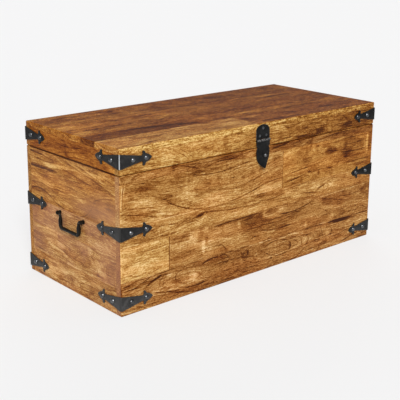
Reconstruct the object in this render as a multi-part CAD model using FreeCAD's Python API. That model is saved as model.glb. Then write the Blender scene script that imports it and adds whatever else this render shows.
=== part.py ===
import FreeCAD, Part
import math
import os

# Lidded hardwood blanket chest with black iron corner straps, a hasp on the
# front and a drop handle on each end. Millimetres, +X to the right along the
# front, the front faces -Y, +Z up. Origin: centre of the chest on the floor.

# ---------------------------------------------------------------- dimensions
LENGTH = 900.0          # outside of the wood, X
DEPTH = 400.0           # outside of the wood, Y
HEIGHT = 400.0          # floor to the top of the lid
WALL = 18.0             # wall and lid rail thickness
LID_TOP = 14.0          # thickness of the glued-up lid top
BODY_TOP = 336.9        # top edge of the body walls
LID_BOTTOM = 337.5      # lower edge of the lid rails
CORNER_R = 3.0          # eased upright corners
TOP_ARRIS = 2.5         # rounded edge round the lid top
SEAM_BEVEL = 2.2        # small bevel at the seam, front and ends
FOOT_BEVEL = 1.5        # small bevel at the floor
REAR_BEVEL_Y = 2.0      # rear bevel at the seam: the two bevels meet
REAR_BEVEL_Z = 2.4      # when the lid leans back, and stop it

# glue lines between the boards of each wall (heights) and the butt joints
FRONT_ROWS = [0.0, 82.0, 165.0, 214.0, 317.0, BODY_TOP]
FRONT_BUTT_2 = -307.0   # butt joint in the second row
FRONT_BUTT_4 = 77.0     # butt joint in the fourth row
LEFT_ROWS = [0.0, 65.0, 140.0, 205.0, 287.0, BODY_TOP]
RIGHT_ROWS = [0.0, 112.0, 224.0, BODY_TOP]
BACK_ROWS = [0.0, 170.0, BODY_TOP]
# glue lines between the boards of the lid top (Y), and its butt joint (X)
TOP_ROWS = [-200.0, -105.0, -47.0, 20.0, 90.0, 200.0]
TOP_BUTT = -19.0

# bottom
CLEAT = 20.0
CLEAT_Z = 8.0
BOTTOM_T = 10.0
BOTTOM_PLAY = 0.5

# corner straps
STRAP_T = 3.0
STRAP_HALF = 17.0
STRAP_REACH = 90.0
# height of each strap's centre line: they were set by hand, not to a jig
STRAP_Z = {
    "bottom": {"front_left": 32.5, "front_right": 33.5,
               "back_left": 29.5, "back_right": 32.0},
    "middle": {"front_left": 201.0, "front_right": 204.5,
               "back_left": 198.0, "back_right": 201.0},
    "lid": {"front_left": 370.5, "front_right": 367.0,
            "back_left": 368.5, "back_right": 369.5},
}
# nail positions from the corner, on the front or back wing and the end wing
NAIL_U = ((30.0, 73.0), (29.0, 72.0))
NAIL_U_AT = {
    ("lid", "front_left"): ((36.0, 73.5), (28.5, 71.5)),
    ("middle", "front_left"): ((28.0, 72.5), (29.5, 72.0)),
    ("bottom", "front_left"): ((28.0, 71.5), (30.0, 72.0)),
    ("lid", "front_right"): ((34.5, 76.0), (30.0, 73.0)),
    ("bottom", "front_right"): ((27.0, 70.0), (30.0, 73.0)),
    ("middle", "back_left"): ((30.0, 73.0), (27.0, 70.5)),
}
NAIL_HEAD_R = 6.3
NAIL_HEAD_H = 4.6
NAIL_SHANK_R = 1.5
NAIL_IN_WOOD = 12.0

# lid hinges (two butt hinges let into the seam)
HINGE_X = 270.0
HINGE_LEN = 60.0
PIVOT_Y = 198.0
PIVOT_Z = 337.2
KNUCKLE_R = 3.0
HINGE_PIN_R = 1.2
HINGE_BORE_R = 1.25
LEAF_T = 1.5
LEAF_FRONT_Y = 182.5
LEAF_GAP = 0.65         # between the two leaves when shut
KNUCKLE_RELIEF = 0.45
MID_KNUCKLE = 9.8       # half-length of the middle knuckle
MID_CLEAR = 0.4

# flush wood screws
SCREW_HEAD_R = 3.2
SCREW_HEAD_H = 1.5
SCREW_R = 1.4
SCREW_LEN = 13.0

# hasp
HASP_X = -2.0
HASP_HALF = 23.5
HASP_T = 2.0
HASP_TOP_Z = 396.5
HASP_SHOULDER_Z = 381.0
HASP_PIV_Y = -203.0
HASP_PIV_Z = 356.0
HASP_KN_R = 2.8
HASP_PIN_R = 1.3
HASP_BORE_R = 1.35
HASP_MID = 8.6
HASP_TIP_Z = 283.2
FLAP_FRONT_Y = -203.9
KNOB_Z = 318.0
KNOB_NECK = 6.6
CATCH_T = 1.2

# drop handles
BAIL_STANDOFF = 7.5     # axis to the end board
BAIL_Y = -2.0
BAIL_Z = 194.6
BAIL_ARM_Y = 40.0
BAIL_DROP = 36.0
BAIL_BEND = 8.0
BAR_R = 4.0             # middle of the bar
LOW_R = 4.6             # lower bends
ARM_R = 5.2             # thickest part of the arms
TOP_R = 3.4             # upper bends
END_R = 2.9             # in the eyes
BAIL_END_Y = 58.5
EYE_Y = 51.0
EYE_W = 3.5
EYE_R = 5.3
EYE_BORE_R = 2.96
EYE_SHANK_R = 2.3

X0, X1 = -LENGTH / 2.0, LENGTH / 2.0
Y0, Y1 = -DEPTH / 2.0, DEPTH / 2.0

V = FreeCAD.Vector
EX, EY, EZ = V(1, 0, 0), V(0, 1, 0), V(0, 0, 1)

nodes = {}


# ------------------------------------------------------------------- helpers
def box(x0, x1, y0, y1, z0, z1):
    return Part.makeBox(x1 - x0, y1 - y0, z1 - z0, V(x0, y0, z0))


def cyl(p, d, r, length):
    return Part.makeCylinder(r, length, p, d)


def prism(points, direction):
    wire = Part.makePolygon(list(points) + [points[0]])
    return Part.Face(wire).extrude(direction)


def upright_edges(shape):
    out = []
    for e in shape.Edges:
        a, b = e.Vertexes[0].Point, e.Vertexes[-1].Point
        if abs(a.x - b.x) < 1e-6 and abs(a.y - b.y) < 1e-6:
            out.append(e)
    return out


def edges_at(shape, z):
    return [e for e in shape.Edges
            if all(abs(v.Point.z - z) < 1e-6 for v in e.Vertexes)]


def one(shape):
    solids = shape.Solids
    if len(solids) != 1:
        raise RuntimeError("expected one solid, got %d" % len(solids))
    return solids[0]


def near(a, b, pad=0.5):
    p, q = a.BoundBox, b.BoundBox
    return (p.XMin - pad < q.XMax and q.XMin - pad < p.XMax and
            p.YMin - pad < q.YMax and q.YMin - pad < p.YMax and
            p.ZMin - pad < q.ZMax and q.ZMin - pad < p.ZMax)


def swap_xy(shape):
    return shape.mirror(V(0, 0, 0), V(1, -1, 0))


def flip_x(shape):
    return shape.mirror(V(0, 0, 0), V(1, 0, 0))


def flip_y(shape):
    return shape.mirror(V(0, 0, 0), V(0, 1, 0))


def moved(shape, x=0.0, y=0.0, z=0.0):
    s = shape.copy()
    s.translate(V(x, y, z))
    return s


def group(shapes):
    return Part.makeCompound(shapes)


# ------------------------------------------------------- carcass as one ring
def ring(z0, z1):
    outer = box(X0, X1, Y0, Y1, z0, z1)
    outer = outer.makeFillet(CORNER_R, upright_edges(outer))
    inner = box(X0 + WALL, X1 - WALL, Y0 + WALL, Y1 - WALL, z0 - 1, z1 + 1)
    return outer, inner


outer, inner = ring(0.0, BODY_TOP)
outer = outer.makeChamfer(SEAM_BEVEL, edges_at(outer, BODY_TOP))
outer = outer.makeChamfer(FOOT_BEVEL, edges_at(outer, 0.0))
body_ring = outer.cut(inner)
wedge = prism([V(X0 - 5, Y1 - REAR_BEVEL_Y, BODY_TOP),
               V(X0 - 5, Y1 + 2.0, BODY_TOP),
               V(X0 - 5, Y1 + 2.0, BODY_TOP - 2 * REAR_BEVEL_Z)],
              V(LENGTH + 10, 0, 0))
body_ring = body_ring.cut(wedge)

outer, inner = ring(LID_BOTTOM, HEIGHT - LID_TOP)
outer = outer.makeChamfer(SEAM_BEVEL, edges_at(outer, LID_BOTTOM))
lid_ring = outer.cut(inner)
wedge = prism([V(X0 - 5, Y1 - REAR_BEVEL_Y, LID_BOTTOM),
               V(X0 - 5, Y1 + 2.0, LID_BOTTOM),
               V(X0 - 5, Y1 + 2.0, LID_BOTTOM + 2 * REAR_BEVEL_Z)],
              V(LENGTH + 10, 0, 0))
lid_ring = lid_ring.cut(wedge)

lid_slab = box(X0, X1, Y0, Y1, HEIGHT - LID_TOP, HEIGHT)
lid_slab = lid_slab.makeFillet(CORNER_R, upright_edges(lid_slab))
lid_slab = lid_slab.makeFillet(TOP_ARRIS, edges_at(lid_slab, HEIGHT))

# wall regions in plan: the front and back boards run the whole length and
# show their end grain on the ends, and the end boards fit between them
OUT = 12.0


def plan(x0, x1, y0, y1):
    return [(x0, y0), (x1, y0), (x1, y1), (x0, y1)]


FRONT = plan(X0 - OUT, X1 + OUT, Y0 - OUT, Y0 + WALL)
BACK = plan(X0 - OUT, X1 + OUT, Y1 - WALL, Y1 + OUT)
LEFT = plan(X0 - OUT, X0 + WALL, Y0 + WALL, Y1 - WALL)
RIGHT = plan(X1 - WALL, X1 + OUT, Y0 + WALL, Y1 - WALL)


def wall(region, z0, z1):
    return prism([V(x, y, z0) for x, y in region], V(0, 0, z1 - z0))


wood = {}


def rows(prefix, whole, region, heights, butts=None):
    butts = butts or {}
    for i in range(len(heights) - 1):
        z0, z1 = heights[i], heights[i + 1]
        board = whole.common(wall(region, z0, z1))
        if i + 1 in butts:
            x = butts[i + 1]
            wood["%s_%d_left" % (prefix, i + 1)] = one(
                board.common(box(X0 - 20, x, Y0 - 20, Y1 + 20, z0 - 1, z1 + 1)))
            wood["%s_%d_right" % (prefix, i + 1)] = one(
                board.common(box(x, X1 + 20, Y0 - 20, Y1 + 20, z0 - 1, z1 + 1)))
        else:
            wood["%s_%d" % (prefix, i + 1)] = one(board)


rows("front_board", body_ring, FRONT, FRONT_ROWS,
     {2: FRONT_BUTT_2, 4: FRONT_BUTT_4})
rows("back_board", body_ring, BACK, BACK_ROWS)
rows("left_end_board", body_ring, LEFT, LEFT_ROWS)
rows("right_end_board", body_ring, RIGHT, RIGHT_ROWS)

for name, region in (("front", FRONT), ("back", BACK),
                     ("left", LEFT), ("right", RIGHT)):
    wood["lid_%s_rail" % name] = one(
        lid_ring.common(wall(region, LID_BOTTOM, HEIGHT - LID_TOP)))

for i in range(len(TOP_ROWS) - 1):
    board = lid_slab.common(box(X0 - 5, X1 + 5, TOP_ROWS[i], TOP_ROWS[i + 1],
                                HEIGHT - LID_TOP - 1, HEIGHT + 1))
    if i == 0:
        wood["lid_top_board_1_left"] = one(board.common(
            box(X0 - 5, TOP_BUTT, Y0 - 5, Y1 + 5, 300, 500)))
        wood["lid_top_board_1_right"] = one(board.common(
            box(TOP_BUTT, X1 + 5, Y0 - 5, Y1 + 5, 300, 500)))
    else:
        wood["lid_top_board_%d" % (i + 1)] = one(board)

# bottom panel lying on two cleats glued inside the front and back walls
cleat = box(X0 + WALL, X1 - WALL, Y0 + WALL, Y0 + WALL + CLEAT,
            CLEAT_Z, CLEAT_Z + CLEAT)
nodes["bottom_cleats"] = group([cleat, flip_y(cleat)])
nodes["bottom_panel"] = box(X0 + WALL + BOTTOM_PLAY, X1 - WALL - BOTTOM_PLAY,
                            Y0 + WALL + BOTTOM_PLAY, Y1 - WALL - BOTTOM_PLAY,
                            CLEAT_Z + CLEAT, CLEAT_Z + CLEAT + BOTTOM_T)

holes = []              # everything bored or let into the wood


# ------------------------------------------------------------- corner straps
def strap_wing():
    """One arrow-headed wing, u along +X from the corner, plate on y 0..-T."""
    def p(u, w):
        return V(u, 0, w)

    def half(s):
        edges = [
            Part.makeLine(p(CORNER_R, s * STRAP_HALF), p(61.0, s * 6.3)),
            Part.Arc(p(61.0, s * 6.3), p(63.6, s * 8.6),
                     p(63.6, s * 14.8)).toShape(),
            Part.Arc(p(63.6, s * 14.8), p(66.6, s * 17.2),
                     p(69.8, s * 15.0)).toShape(),
            Part.Arc(p(69.8, s * 15.0), p(72.6, s * 10.9),
                     p(77.4, s * 8.9)).toShape(),
            Part.Arc(p(77.4, s * 8.9), p(84.6, s * 5.2),
                     p(STRAP_REACH, 0)).toShape(),
        ]
        return edges

    up, down = half(1.0), half(-1.0)
    root = Part.makeLine(p(CORNER_R, STRAP_HALF), p(CORNER_R, -STRAP_HALF))
    wire = Part.Wire(Part.__sortEdges__(up + down + [root]))
    return Part.Face(wire).extrude(V(0, -STRAP_T, 0))


wing = strap_wing()
bend = cyl(V(CORNER_R, CORNER_R, -STRAP_HALF), EZ, CORNER_R + STRAP_T,
           2 * STRAP_HALF).cut(
    cyl(V(CORNER_R, CORNER_R, -STRAP_HALF - 1), EZ, CORNER_R,
        2 * STRAP_HALF + 2))
bend = bend.common(box(-20, CORNER_R, -20, CORNER_R, -30, 30))
strap = one(wing.fuse(swap_xy(wing)).fuse(bend).removeSplitter())

# dome-headed nail, pointing along +Y from the strap's face
cap_r = (NAIL_HEAD_R ** 2 + NAIL_HEAD_H ** 2) / (2 * NAIL_HEAD_H)
cap = Part.makeSphere(cap_r, V(0, -STRAP_T - NAIL_HEAD_H + cap_r, 0))
cap = cap.common(box(-10, 10, -30, -STRAP_T, -10, 10))
shank = cyl(V(0, -STRAP_T, 0), EY, NAIL_SHANK_R, STRAP_T + NAIL_IN_WOOD)
nail = one(cap.fuse(shank))
nail_hole = cyl(V(0, -STRAP_T - 1, 0), EY, NAIL_SHANK_R,
                STRAP_T + 1 + NAIL_IN_WOOD)



def at_nails(shape, us):
    """Copies of a nail or its bore at the nail positions of both wings."""
    return [moved(shape, u) for u in us[0]] + \
        [swap_xy(moved(shape, u)) for u in us[1]]


corners = {"front_left": (0, 0), "front_right": (1, 0),
           "back_left": (0, 1), "back_right": (1, 1)}


def to_corner(shape, corner, z):
    s = moved(shape, X0, Y0, z)
    if corner[0]:
        s = flip_x(s)
    if corner[1]:
        s = flip_y(s)
    return s


nails = {"body": [], "lid": []}
for level, heights in STRAP_Z.items():
    for cname, corner in corners.items():
        z = heights[cname]
        us = NAIL_U_AT.get((level, cname), NAIL_U)
        bores = at_nails(nail_hole, us)
        nodes["%s_corner_strap_%s" % (level, cname)] = to_corner(
            one(strap.cut(bores)), corner, z)
        side = "lid" if level == "lid" else "body"
        for n in at_nails(nail, us):
            nails[side].append(to_corner(n, corner, z))
        for b in bores:
            holes.append(to_corner(b, corner, z))
nodes["body_strap_nails"] = group(nails["body"])
nodes["lid_strap_nails"] = group(nails["lid"])


# --------------------------------------------------------------- lid hinges
def flush_screw():
    """Flush wood screw, face at the origin, pointing along -Z."""
    head = Part.makeCone(SCREW_R, SCREW_HEAD_R, SCREW_HEAD_H,
                         V(0, 0, -SCREW_HEAD_H), EZ)
    body = cyl(V(0, 0, -SCREW_LEN), EZ, SCREW_R, SCREW_LEN - SCREW_HEAD_H)
    return one(head.fuse(body))


screw = flush_screw()
screw_up = screw.mirror(V(0, 0, 0), EZ)
screw_front = screw.copy()      # driven in from the front, pointing along +Y
screw_front.rotate(V(0, 0, 0), EX, 90)

body_leaf_z1 = PIVOT_Z - LEAF_GAP / 2.0
lid_leaf_z0 = PIVOT_Z + LEAF_GAP / 2.0
half_len = HINGE_LEN / 2.0


def hinge():
    mid = MID_KNUCKLE
    end = MID_KNUCKLE + MID_CLEAR
    relief = PIVOT_Y - KNUCKLE_R - KNUCKLE_RELIEF
    axis0 = V(-half_len, PIVOT_Y, PIVOT_Z)
    bore = cyl(V(-half_len - 1, PIVOT_Y, PIVOT_Z), EX, HINGE_BORE_R,
               HINGE_LEN + 2)
    # body leaf with the two outer knuckles
    plate = box(-half_len, half_len, LEAF_FRONT_Y, PIVOT_Y,
                body_leaf_z1 - LEAF_T, body_leaf_z1)
    plate = plate.cut(box(-end, end, relief, PIVOT_Y + 1,
                          PIVOT_Z - 5, PIVOT_Z + 5))
    k1 = cyl(axis0, EX, KNUCKLE_R, half_len - end)
    k2 = cyl(V(end, PIVOT_Y, PIVOT_Z), EX, KNUCKLE_R, half_len - end)
    body_leaf = plate.fuse([k1, k2]).cut(bore)
    # lid leaf with the middle knuckle
    plate = box(-half_len, half_len, LEAF_FRONT_Y, PIVOT_Y,
                lid_leaf_z0, lid_leaf_z0 + LEAF_T)
    for x0, x1 in ((-half_len - 1, -mid), (mid, half_len + 1)):
        plate = plate.cut(box(x0, x1, relief, PIVOT_Y + 1,
                              PIVOT_Z - 5, PIVOT_Z + 5))
    k = cyl(V(-mid, PIVOT_Y, PIVOT_Z), EX, KNUCKLE_R, 2 * mid)
    lid_leaf = plate.fuse(k).cut(bore)
    pin = cyl(axis0, EX, HINGE_PIN_R, HINGE_LEN)
    return body_leaf, lid_leaf, pin


SCREW_SPOTS = [(-21.0, 189.6), (0.0, 187.6), (21.0, 189.6)]
body_leaf, lid_leaf, hinge_pin = hinge()
b_screws = [moved(screw, x, y, body_leaf_z1) for x, y in SCREW_SPOTS]
l_screws = [moved(screw_up, x, y, lid_leaf_z0) for x, y in SCREW_SPOTS]
body_leaf = one(body_leaf.cut(b_screws))
lid_leaf = one(lid_leaf.cut(l_screws))

pins, body_screws, lid_screws = [], [], []
for side, x in (("left", -HINGE_X), ("right", HINGE_X)):
    nodes["%s_hinge_body_leaf" % side] = moved(body_leaf, x)
    nodes["%s_hinge_lid_leaf" % side] = moved(lid_leaf, x)
    pins.append(moved(hinge_pin, x))
    body_screws += [moved(s, x) for s in b_screws]
    lid_screws += [moved(s, x) for s in l_screws]
    # the recesses in the wood: a seat for each leaf and a trough for the knuckles
    holes.append(box(x - half_len, x + half_len, LEAF_FRONT_Y, Y1 + 2,
                     body_leaf_z1 - LEAF_T, PIVOT_Z))
    holes.append(box(x - half_len, x + half_len, LEAF_FRONT_Y, Y1 + 2,
                     PIVOT_Z, lid_leaf_z0 + LEAF_T))
    holes.append(cyl(V(x - half_len - 0.4, PIVOT_Y, PIVOT_Z), EX,
                     KNUCKLE_R + 0.5, HINGE_LEN + 0.8))
holes += body_screws + lid_screws
nodes["hinge_pins"] = group(pins)
nodes["lid_hinge_screws"] = group(lid_screws)


# --------------------------------------------------------------------- hasp
def hasp_bore(r):
    return cyl(V(-HASP_HALF - 5, HASP_PIV_Y, HASP_PIV_Z), EX, r,
               2 * HASP_HALF + 10)


# fixed plate on the lid rail: arched head, two outer knuckles
sides = [V(-HASP_HALF, Y0, HASP_PIV_Z), V(-HASP_HALF, Y0, HASP_SHOULDER_Z),
         V(HASP_HALF, Y0, HASP_SHOULDER_Z), V(HASP_HALF, Y0, HASP_PIV_Z)]
arch = Part.Ellipse(V(HASP_HALF, Y0, HASP_SHOULDER_Z),
                    V(0, Y0, HASP_TOP_Z), V(0, Y0, HASP_SHOULDER_Z))
arch_edges = [e for e in arch.toShape().Edges]
arch_face = Part.Face(Part.Wire(arch_edges)).extrude(V(0, -HASP_T, 0))
plate = prism(sides, V(0, -HASP_T, 0)).fuse(arch_face).removeSplitter()
k_end = HASP_MID + 0.4
plate = plate.cut(box(-k_end, k_end, Y0 - 10, Y0 + 1,
                      HASP_PIV_Z - 10, HASP_PIV_Z + HASP_KN_R + 1.6))
outer_k = [cyl(V(-HASP_HALF, HASP_PIV_Y, HASP_PIV_Z), EX, HASP_KN_R,
               HASP_HALF - k_end),
           cyl(V(k_end, HASP_PIV_Y, HASP_PIV_Z), EX, HASP_KN_R,
               HASP_HALF - k_end)]
plate = plate.fuse(outer_k).cut(hasp_bore(HASP_BORE_R))

# raised countersunk screws through the plate
def raised_screw():
    head = Part.makeCone(SCREW_R, 3.4, 1.6, V(0, 0, -1.6), EZ)
    dome = Part.makeSphere(6.4, V(0, 0, 1.0 - 6.4)).common(
        cyl(V(0, 0, 0), EZ, 3.4, 3))
    body = cyl(V(0, 0, -SCREW_LEN), EZ, SCREW_R, SCREW_LEN - 1.6)
    return one(head.fuse([dome, body]))


rs = raised_screw()
rs.rotate(V(0, 0, 0), EX, 90)
HASP_SCREWS = [(0.0, 387.0), (-11.5, 368.0), (11.5, 368.0)]
hasp_screws = [moved(rs, x, Y0 - HASP_T, z) for x, z in HASP_SCREWS]
plate = one(plate.cut(hasp_screws).removeSplitter())
hasp_screws = [moved(s, HASP_X) for s in hasp_screws]
nodes["hasp_plate"] = moved(plate, HASP_X)
nodes["hasp_screws"] = group(hasp_screws)
holes += hasp_screws

# flap: outline seen from the front times the side profile
top = HASP_PIV_Z - HASP_KN_R - 0.4


def fp(x, z):
    return V(x, Y0 - 20, z)


def flap_half(s):
    return [
        Part.makeLine(fp(s * HASP_HALF, top), fp(s * HASP_HALF, 342.0)),
        Part.Arc(fp(s * HASP_HALF, 342.0), fp(s * 20.2, 338.3),
                 fp(s * 22.4, 334.0)).toShape(),
        Part.Arc(fp(s * 22.4, 334.0), fp(s * 23.0, 323.0),
                 fp(s * 21.6, 311.0)).toShape(),
        Part.Arc(fp(s * 21.6, 311.0), fp(s * 13.8, 295.4),
                 fp(0, HASP_TIP_Z - 0.2)).toShape(),
    ]


lid_line = Part.makeLine(fp(HASP_HALF, top), fp(-HASP_HALF, top))
flap_face = Part.Face(Part.Wire(Part.__sortEdges__(
    flap_half(1.0) + flap_half(-1.0) + [lid_line])))
outline = flap_face.extrude(V(0, 30, 0))
tongue = box(-HASP_MID, HASP_MID, Y0 - 20, Y0 + 10, top - 1, HASP_PIV_Z)
outline = outline.fuse(tongue)
# side profile: hangs plumb, then the tip turns out for a finger
yA, yB = FLAP_FRONT_Y, FLAP_FRONT_Y + HASP_T
side = [
    Part.makeLine(V(-60, yA, HASP_PIV_Z), V(-60, yA, 303.0)),
    Part.Arc(V(-60, yA, 303.0), V(-60, yA - 2.4, 293.0),
             V(-60, yA - 8.0, 284.5)).toShape(),
    Part.makeLine(V(-60, yA - 8.0, 284.5), V(-60, yA - 6.5, HASP_TIP_Z)),
    Part.Arc(V(-60, yA - 6.5, HASP_TIP_Z), V(-60, yA - 0.54, 292.3),
             V(-60, yB, 303.0)).toShape(),
    Part.makeLine(V(-60, yB, 303.0), V(-60, yB, HASP_PIV_Z)),
    Part.makeLine(V(-60, yB, HASP_PIV_Z), V(-60, yA, HASP_PIV_Z)),
]
side_solid = Part.Face(Part.Wire(side)).extrude(V(120, 0, 0))
flap = outline.common(side_solid)
flap_k = cyl(V(-HASP_MID, HASP_PIV_Y, HASP_PIV_Z), EX, HASP_KN_R, 2 * HASP_MID)
flap = flap.fuse(flap_k).cut(hasp_bore(HASP_BORE_R))
flap_back = yB
# knob riveted through the flap: neck, flare and dome
neck_end = yA - KNOB_NECK
knob_shank = cyl(V(0, yA, KNOB_Z), EY, 2.0, HASP_T)
knob_neck = Part.makeCone(2.9, 3.3, KNOB_NECK, V(0, neck_end, KNOB_Z), EY)
knob_flare = Part.makeCone(5.0, 2.9, 1.0, V(0, neck_end - 1.0, KNOB_Z), EY)
dome_r = (5.0 ** 2 + 4.3 ** 2) / (2 * 4.3)
knob_dome = Part.makeSphere(dome_r, V(0, neck_end - 5.3 + dome_r, KNOB_Z))
knob_dome = knob_dome.common(box(-9, 9, neck_end - 20, neck_end - 1.0,
                                 KNOB_Z - 9, KNOB_Z + 9))
knob = one(knob_shank.fuse([knob_neck, knob_flare, knob_dome]))
flap = one(flap.cut(cyl(V(0, yA - 1, KNOB_Z), EY, 2.0, HASP_T + 2))
           .removeSplitter())
nodes["hasp_flap"] = moved(flap, HASP_X)
nodes["hasp_knob"] = moved(knob, HASP_X)

# hinge pin with small peened ends
pin = cyl(V(-HASP_HALF, HASP_PIV_Y, HASP_PIV_Z), EX, HASP_PIN_R, 2 * HASP_HALF)
peen = cyl(V(-HASP_HALF - 1.0, HASP_PIV_Y, HASP_PIV_Z), EX, 2.2, 1.0)
nodes["hasp_pin"] = moved(
    one(pin.fuse([peen, flip_x(peen)]).removeSplitter()), HASP_X)

# catch plate on the body, which the flap lies on
catch = box(-12, 12, Y0 - CATCH_T, Y0, 302.0, 334.0)
catch = catch.makeFillet(3.0, [e for e in catch.Edges
                               if abs(e.Vertexes[0].Point.x -
                                      e.Vertexes[-1].Point.x) < 1e-6 and
                               abs(e.Vertexes[0].Point.z -
                                   e.Vertexes[-1].Point.z) < 1e-6])
boss = cyl(V(0, flap_back + 0.3, KNOB_Z), EY, 5.5,
           Y0 - CATCH_T - flap_back - 0.3)
catch = catch.fuse(boss)
catch_screws = [moved(screw_front, 0, Y0 - CATCH_T, z) for z in (307.0, 329.0)]
catch = one(catch.cut(catch_screws).removeSplitter())
catch_screws = [moved(s, HASP_X) for s in catch_screws]
nodes["hasp_catch"] = moved(catch, HASP_X)
body_screws += catch_screws
holes += catch_screws
nodes["body_screws"] = group(body_screws)


# ------------------------------------------------------------- drop handles
def taper(p, q, r0, r1):
    d = q - p
    if abs(r0 - r1) < 1e-6:
        return cyl(p, d, r0, d.Length)
    return Part.makeCone(r0, r1, d.Length, p, d)


def bend_piece(centre, start, direction, angle, r):
    """Quarter bend: the rod's section at start turned about an X-wise axis."""
    face = Part.Face(Part.Wire(Part.makeCircle(r, start, direction)))
    return face.revolve(centre, EX, angle)


def bail_half():
    """Half of the left handle (y > 0), with its axis on x = 0, z = 0."""
    a, b, e, d = BAIL_ARM_Y, BAIL_BEND, BAIL_END_Y, BAIL_DROP
    swell = -d * 0.5
    stop = EYE_Y + EYE_W / 2 + 0.35
    collar = cyl(V(0, stop, 0), EY, 4.1, 1.8)
    collar = collar.makeFillet(0.7, [ed for ed in collar.Edges
                                     if isinstance(ed.Curve, Part.Circle)])
    return [
        # bar, from its slim middle out to the lower bend
        taper(V(0, 0, -d), V(0, a - b, -d), BAR_R, LOW_R),
        bend_piece(V(0, a - b, -d + b), V(0, a, -d + b), EZ, -90, LOW_R),
        # arm, swelling in the middle and slimmer towards the upper bend
        taper(V(0, a, -d + b), V(0, a, swell), LOW_R, ARM_R),
        taper(V(0, a, swell), V(0, a, -b), ARM_R, TOP_R),
        bend_piece(V(0, a + b, -b), V(0, a + b, 0), EY, 90, TOP_R),
        # end in the eye, upset behind it, with a drawn-out tip
        taper(V(0, a + b, 0), V(0, a + b + 1.0, 0), TOP_R, END_R),
        cyl(V(0, a + b + 1.0, 0), EY, END_R, stop + 1.0 - a - b - 1.0),
        collar,
        taper(V(0, stop + 1.0, 0), V(0, e, 0), END_R, 1.5),
    ]


half_parts = bail_half()
others = [flip_y(s) for s in half_parts]
bail = half_parts[0].fuse(half_parts[1:] + others).removeSplitter()
bail = one(bail)

ring_eye = cyl(V(0, EYE_Y - EYE_W / 2, 0), EY, EYE_R, EYE_W)
stem = cyl(V(4.0, EYE_Y, 0), EX, EYE_SHANK_R, BAIL_STANDOFF - 4.0 + WALL + 5.4)
flange = cyl(V(BAIL_STANDOFF - 1.2, EYE_Y, 0), EX, 5.2, 1.2)
eye = ring_eye.fuse([stem, flange]).cut(
    cyl(V(0, EYE_Y - EYE_W, 0), EY, EYE_BORE_R, 2 * EYE_W))
eye = one(eye)
inside = BAIL_STANDOFF + WALL
washer = cyl(V(inside, EYE_Y, 0), EX, 6.5, 1.0)
nut_pts = [V(inside + 1.0, EYE_Y + 4.6 * math.cos(math.radians(60 * k)),
             4.6 * math.sin(math.radians(60 * k))) for k in range(6)]
nut = prism(nut_pts, V(3.6, 0, 0))
nut = one(nut.fuse(washer).cut(
    cyl(V(inside - 1, EYE_Y, 0), EX, EYE_SHANK_R, 12)))
eye_hole = cyl(V(BAIL_STANDOFF - 1, EYE_Y, 0), EX, EYE_SHANK_R, WALL + 2)

bail = moved(bail, X0 - BAIL_STANDOFF, BAIL_Y, BAIL_Z)
nodes["left_handle"] = bail
nodes["right_handle"] = flip_x(bail)
eyes, nuts = [], []
for s, store in ((eye, eyes), (nut, nuts), (eye_hole, holes)):
    for t in (s, flip_y(s)):
        t = moved(t, X0 - BAIL_STANDOFF, BAIL_Y, BAIL_Z)
        store.append(t)
        store.append(flip_x(t))
nodes["handle_eye_bolts"] = group(eyes)
nodes["handle_nuts"] = group(nuts)

# ------------------------------------------------ bore and recess the wood
for name, board in wood.items():
    tools = [h for h in holes if near(board, h, 0.0)]
    if tools:
        board = one(board.cut(tools))
    nodes[name] = board

# -------------------------------------------------------------------- export
os.makedirs("parts", exist_ok=True)
for name in sorted(nodes):
    shape = nodes[name]
    if not shape.isValid():
        raise RuntimeError("%s is not valid" % name)
    shape.exportStep("parts/%s.step" % name)
    bb = shape.BoundBox
    print("%-34s %2d solids %11.1f mm3  x %.1f..%.1f y %.1f..%.1f z %.1f..%.1f" % (
        name, len(shape.Solids), shape.Volume, bb.XMin, bb.XMax,
        bb.YMin, bb.YMax, bb.ZMin, bb.ZMax))
print("nodes:", len(nodes))
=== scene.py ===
import bpy
import bmesh
import math
from mathutils import Matrix, Vector, noise


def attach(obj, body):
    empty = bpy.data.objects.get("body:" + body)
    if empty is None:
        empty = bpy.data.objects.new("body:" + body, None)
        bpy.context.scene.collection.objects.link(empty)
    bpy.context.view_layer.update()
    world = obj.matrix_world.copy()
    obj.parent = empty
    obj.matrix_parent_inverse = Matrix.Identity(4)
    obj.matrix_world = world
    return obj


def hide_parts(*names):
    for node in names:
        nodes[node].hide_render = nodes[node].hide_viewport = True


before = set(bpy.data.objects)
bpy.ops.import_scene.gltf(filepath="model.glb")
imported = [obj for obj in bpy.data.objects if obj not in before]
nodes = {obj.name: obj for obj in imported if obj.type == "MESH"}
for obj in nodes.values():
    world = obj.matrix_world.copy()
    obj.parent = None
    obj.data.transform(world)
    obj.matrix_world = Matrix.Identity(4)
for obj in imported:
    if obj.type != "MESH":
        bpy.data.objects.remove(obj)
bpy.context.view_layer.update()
scene = bpy.context.scene


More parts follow.
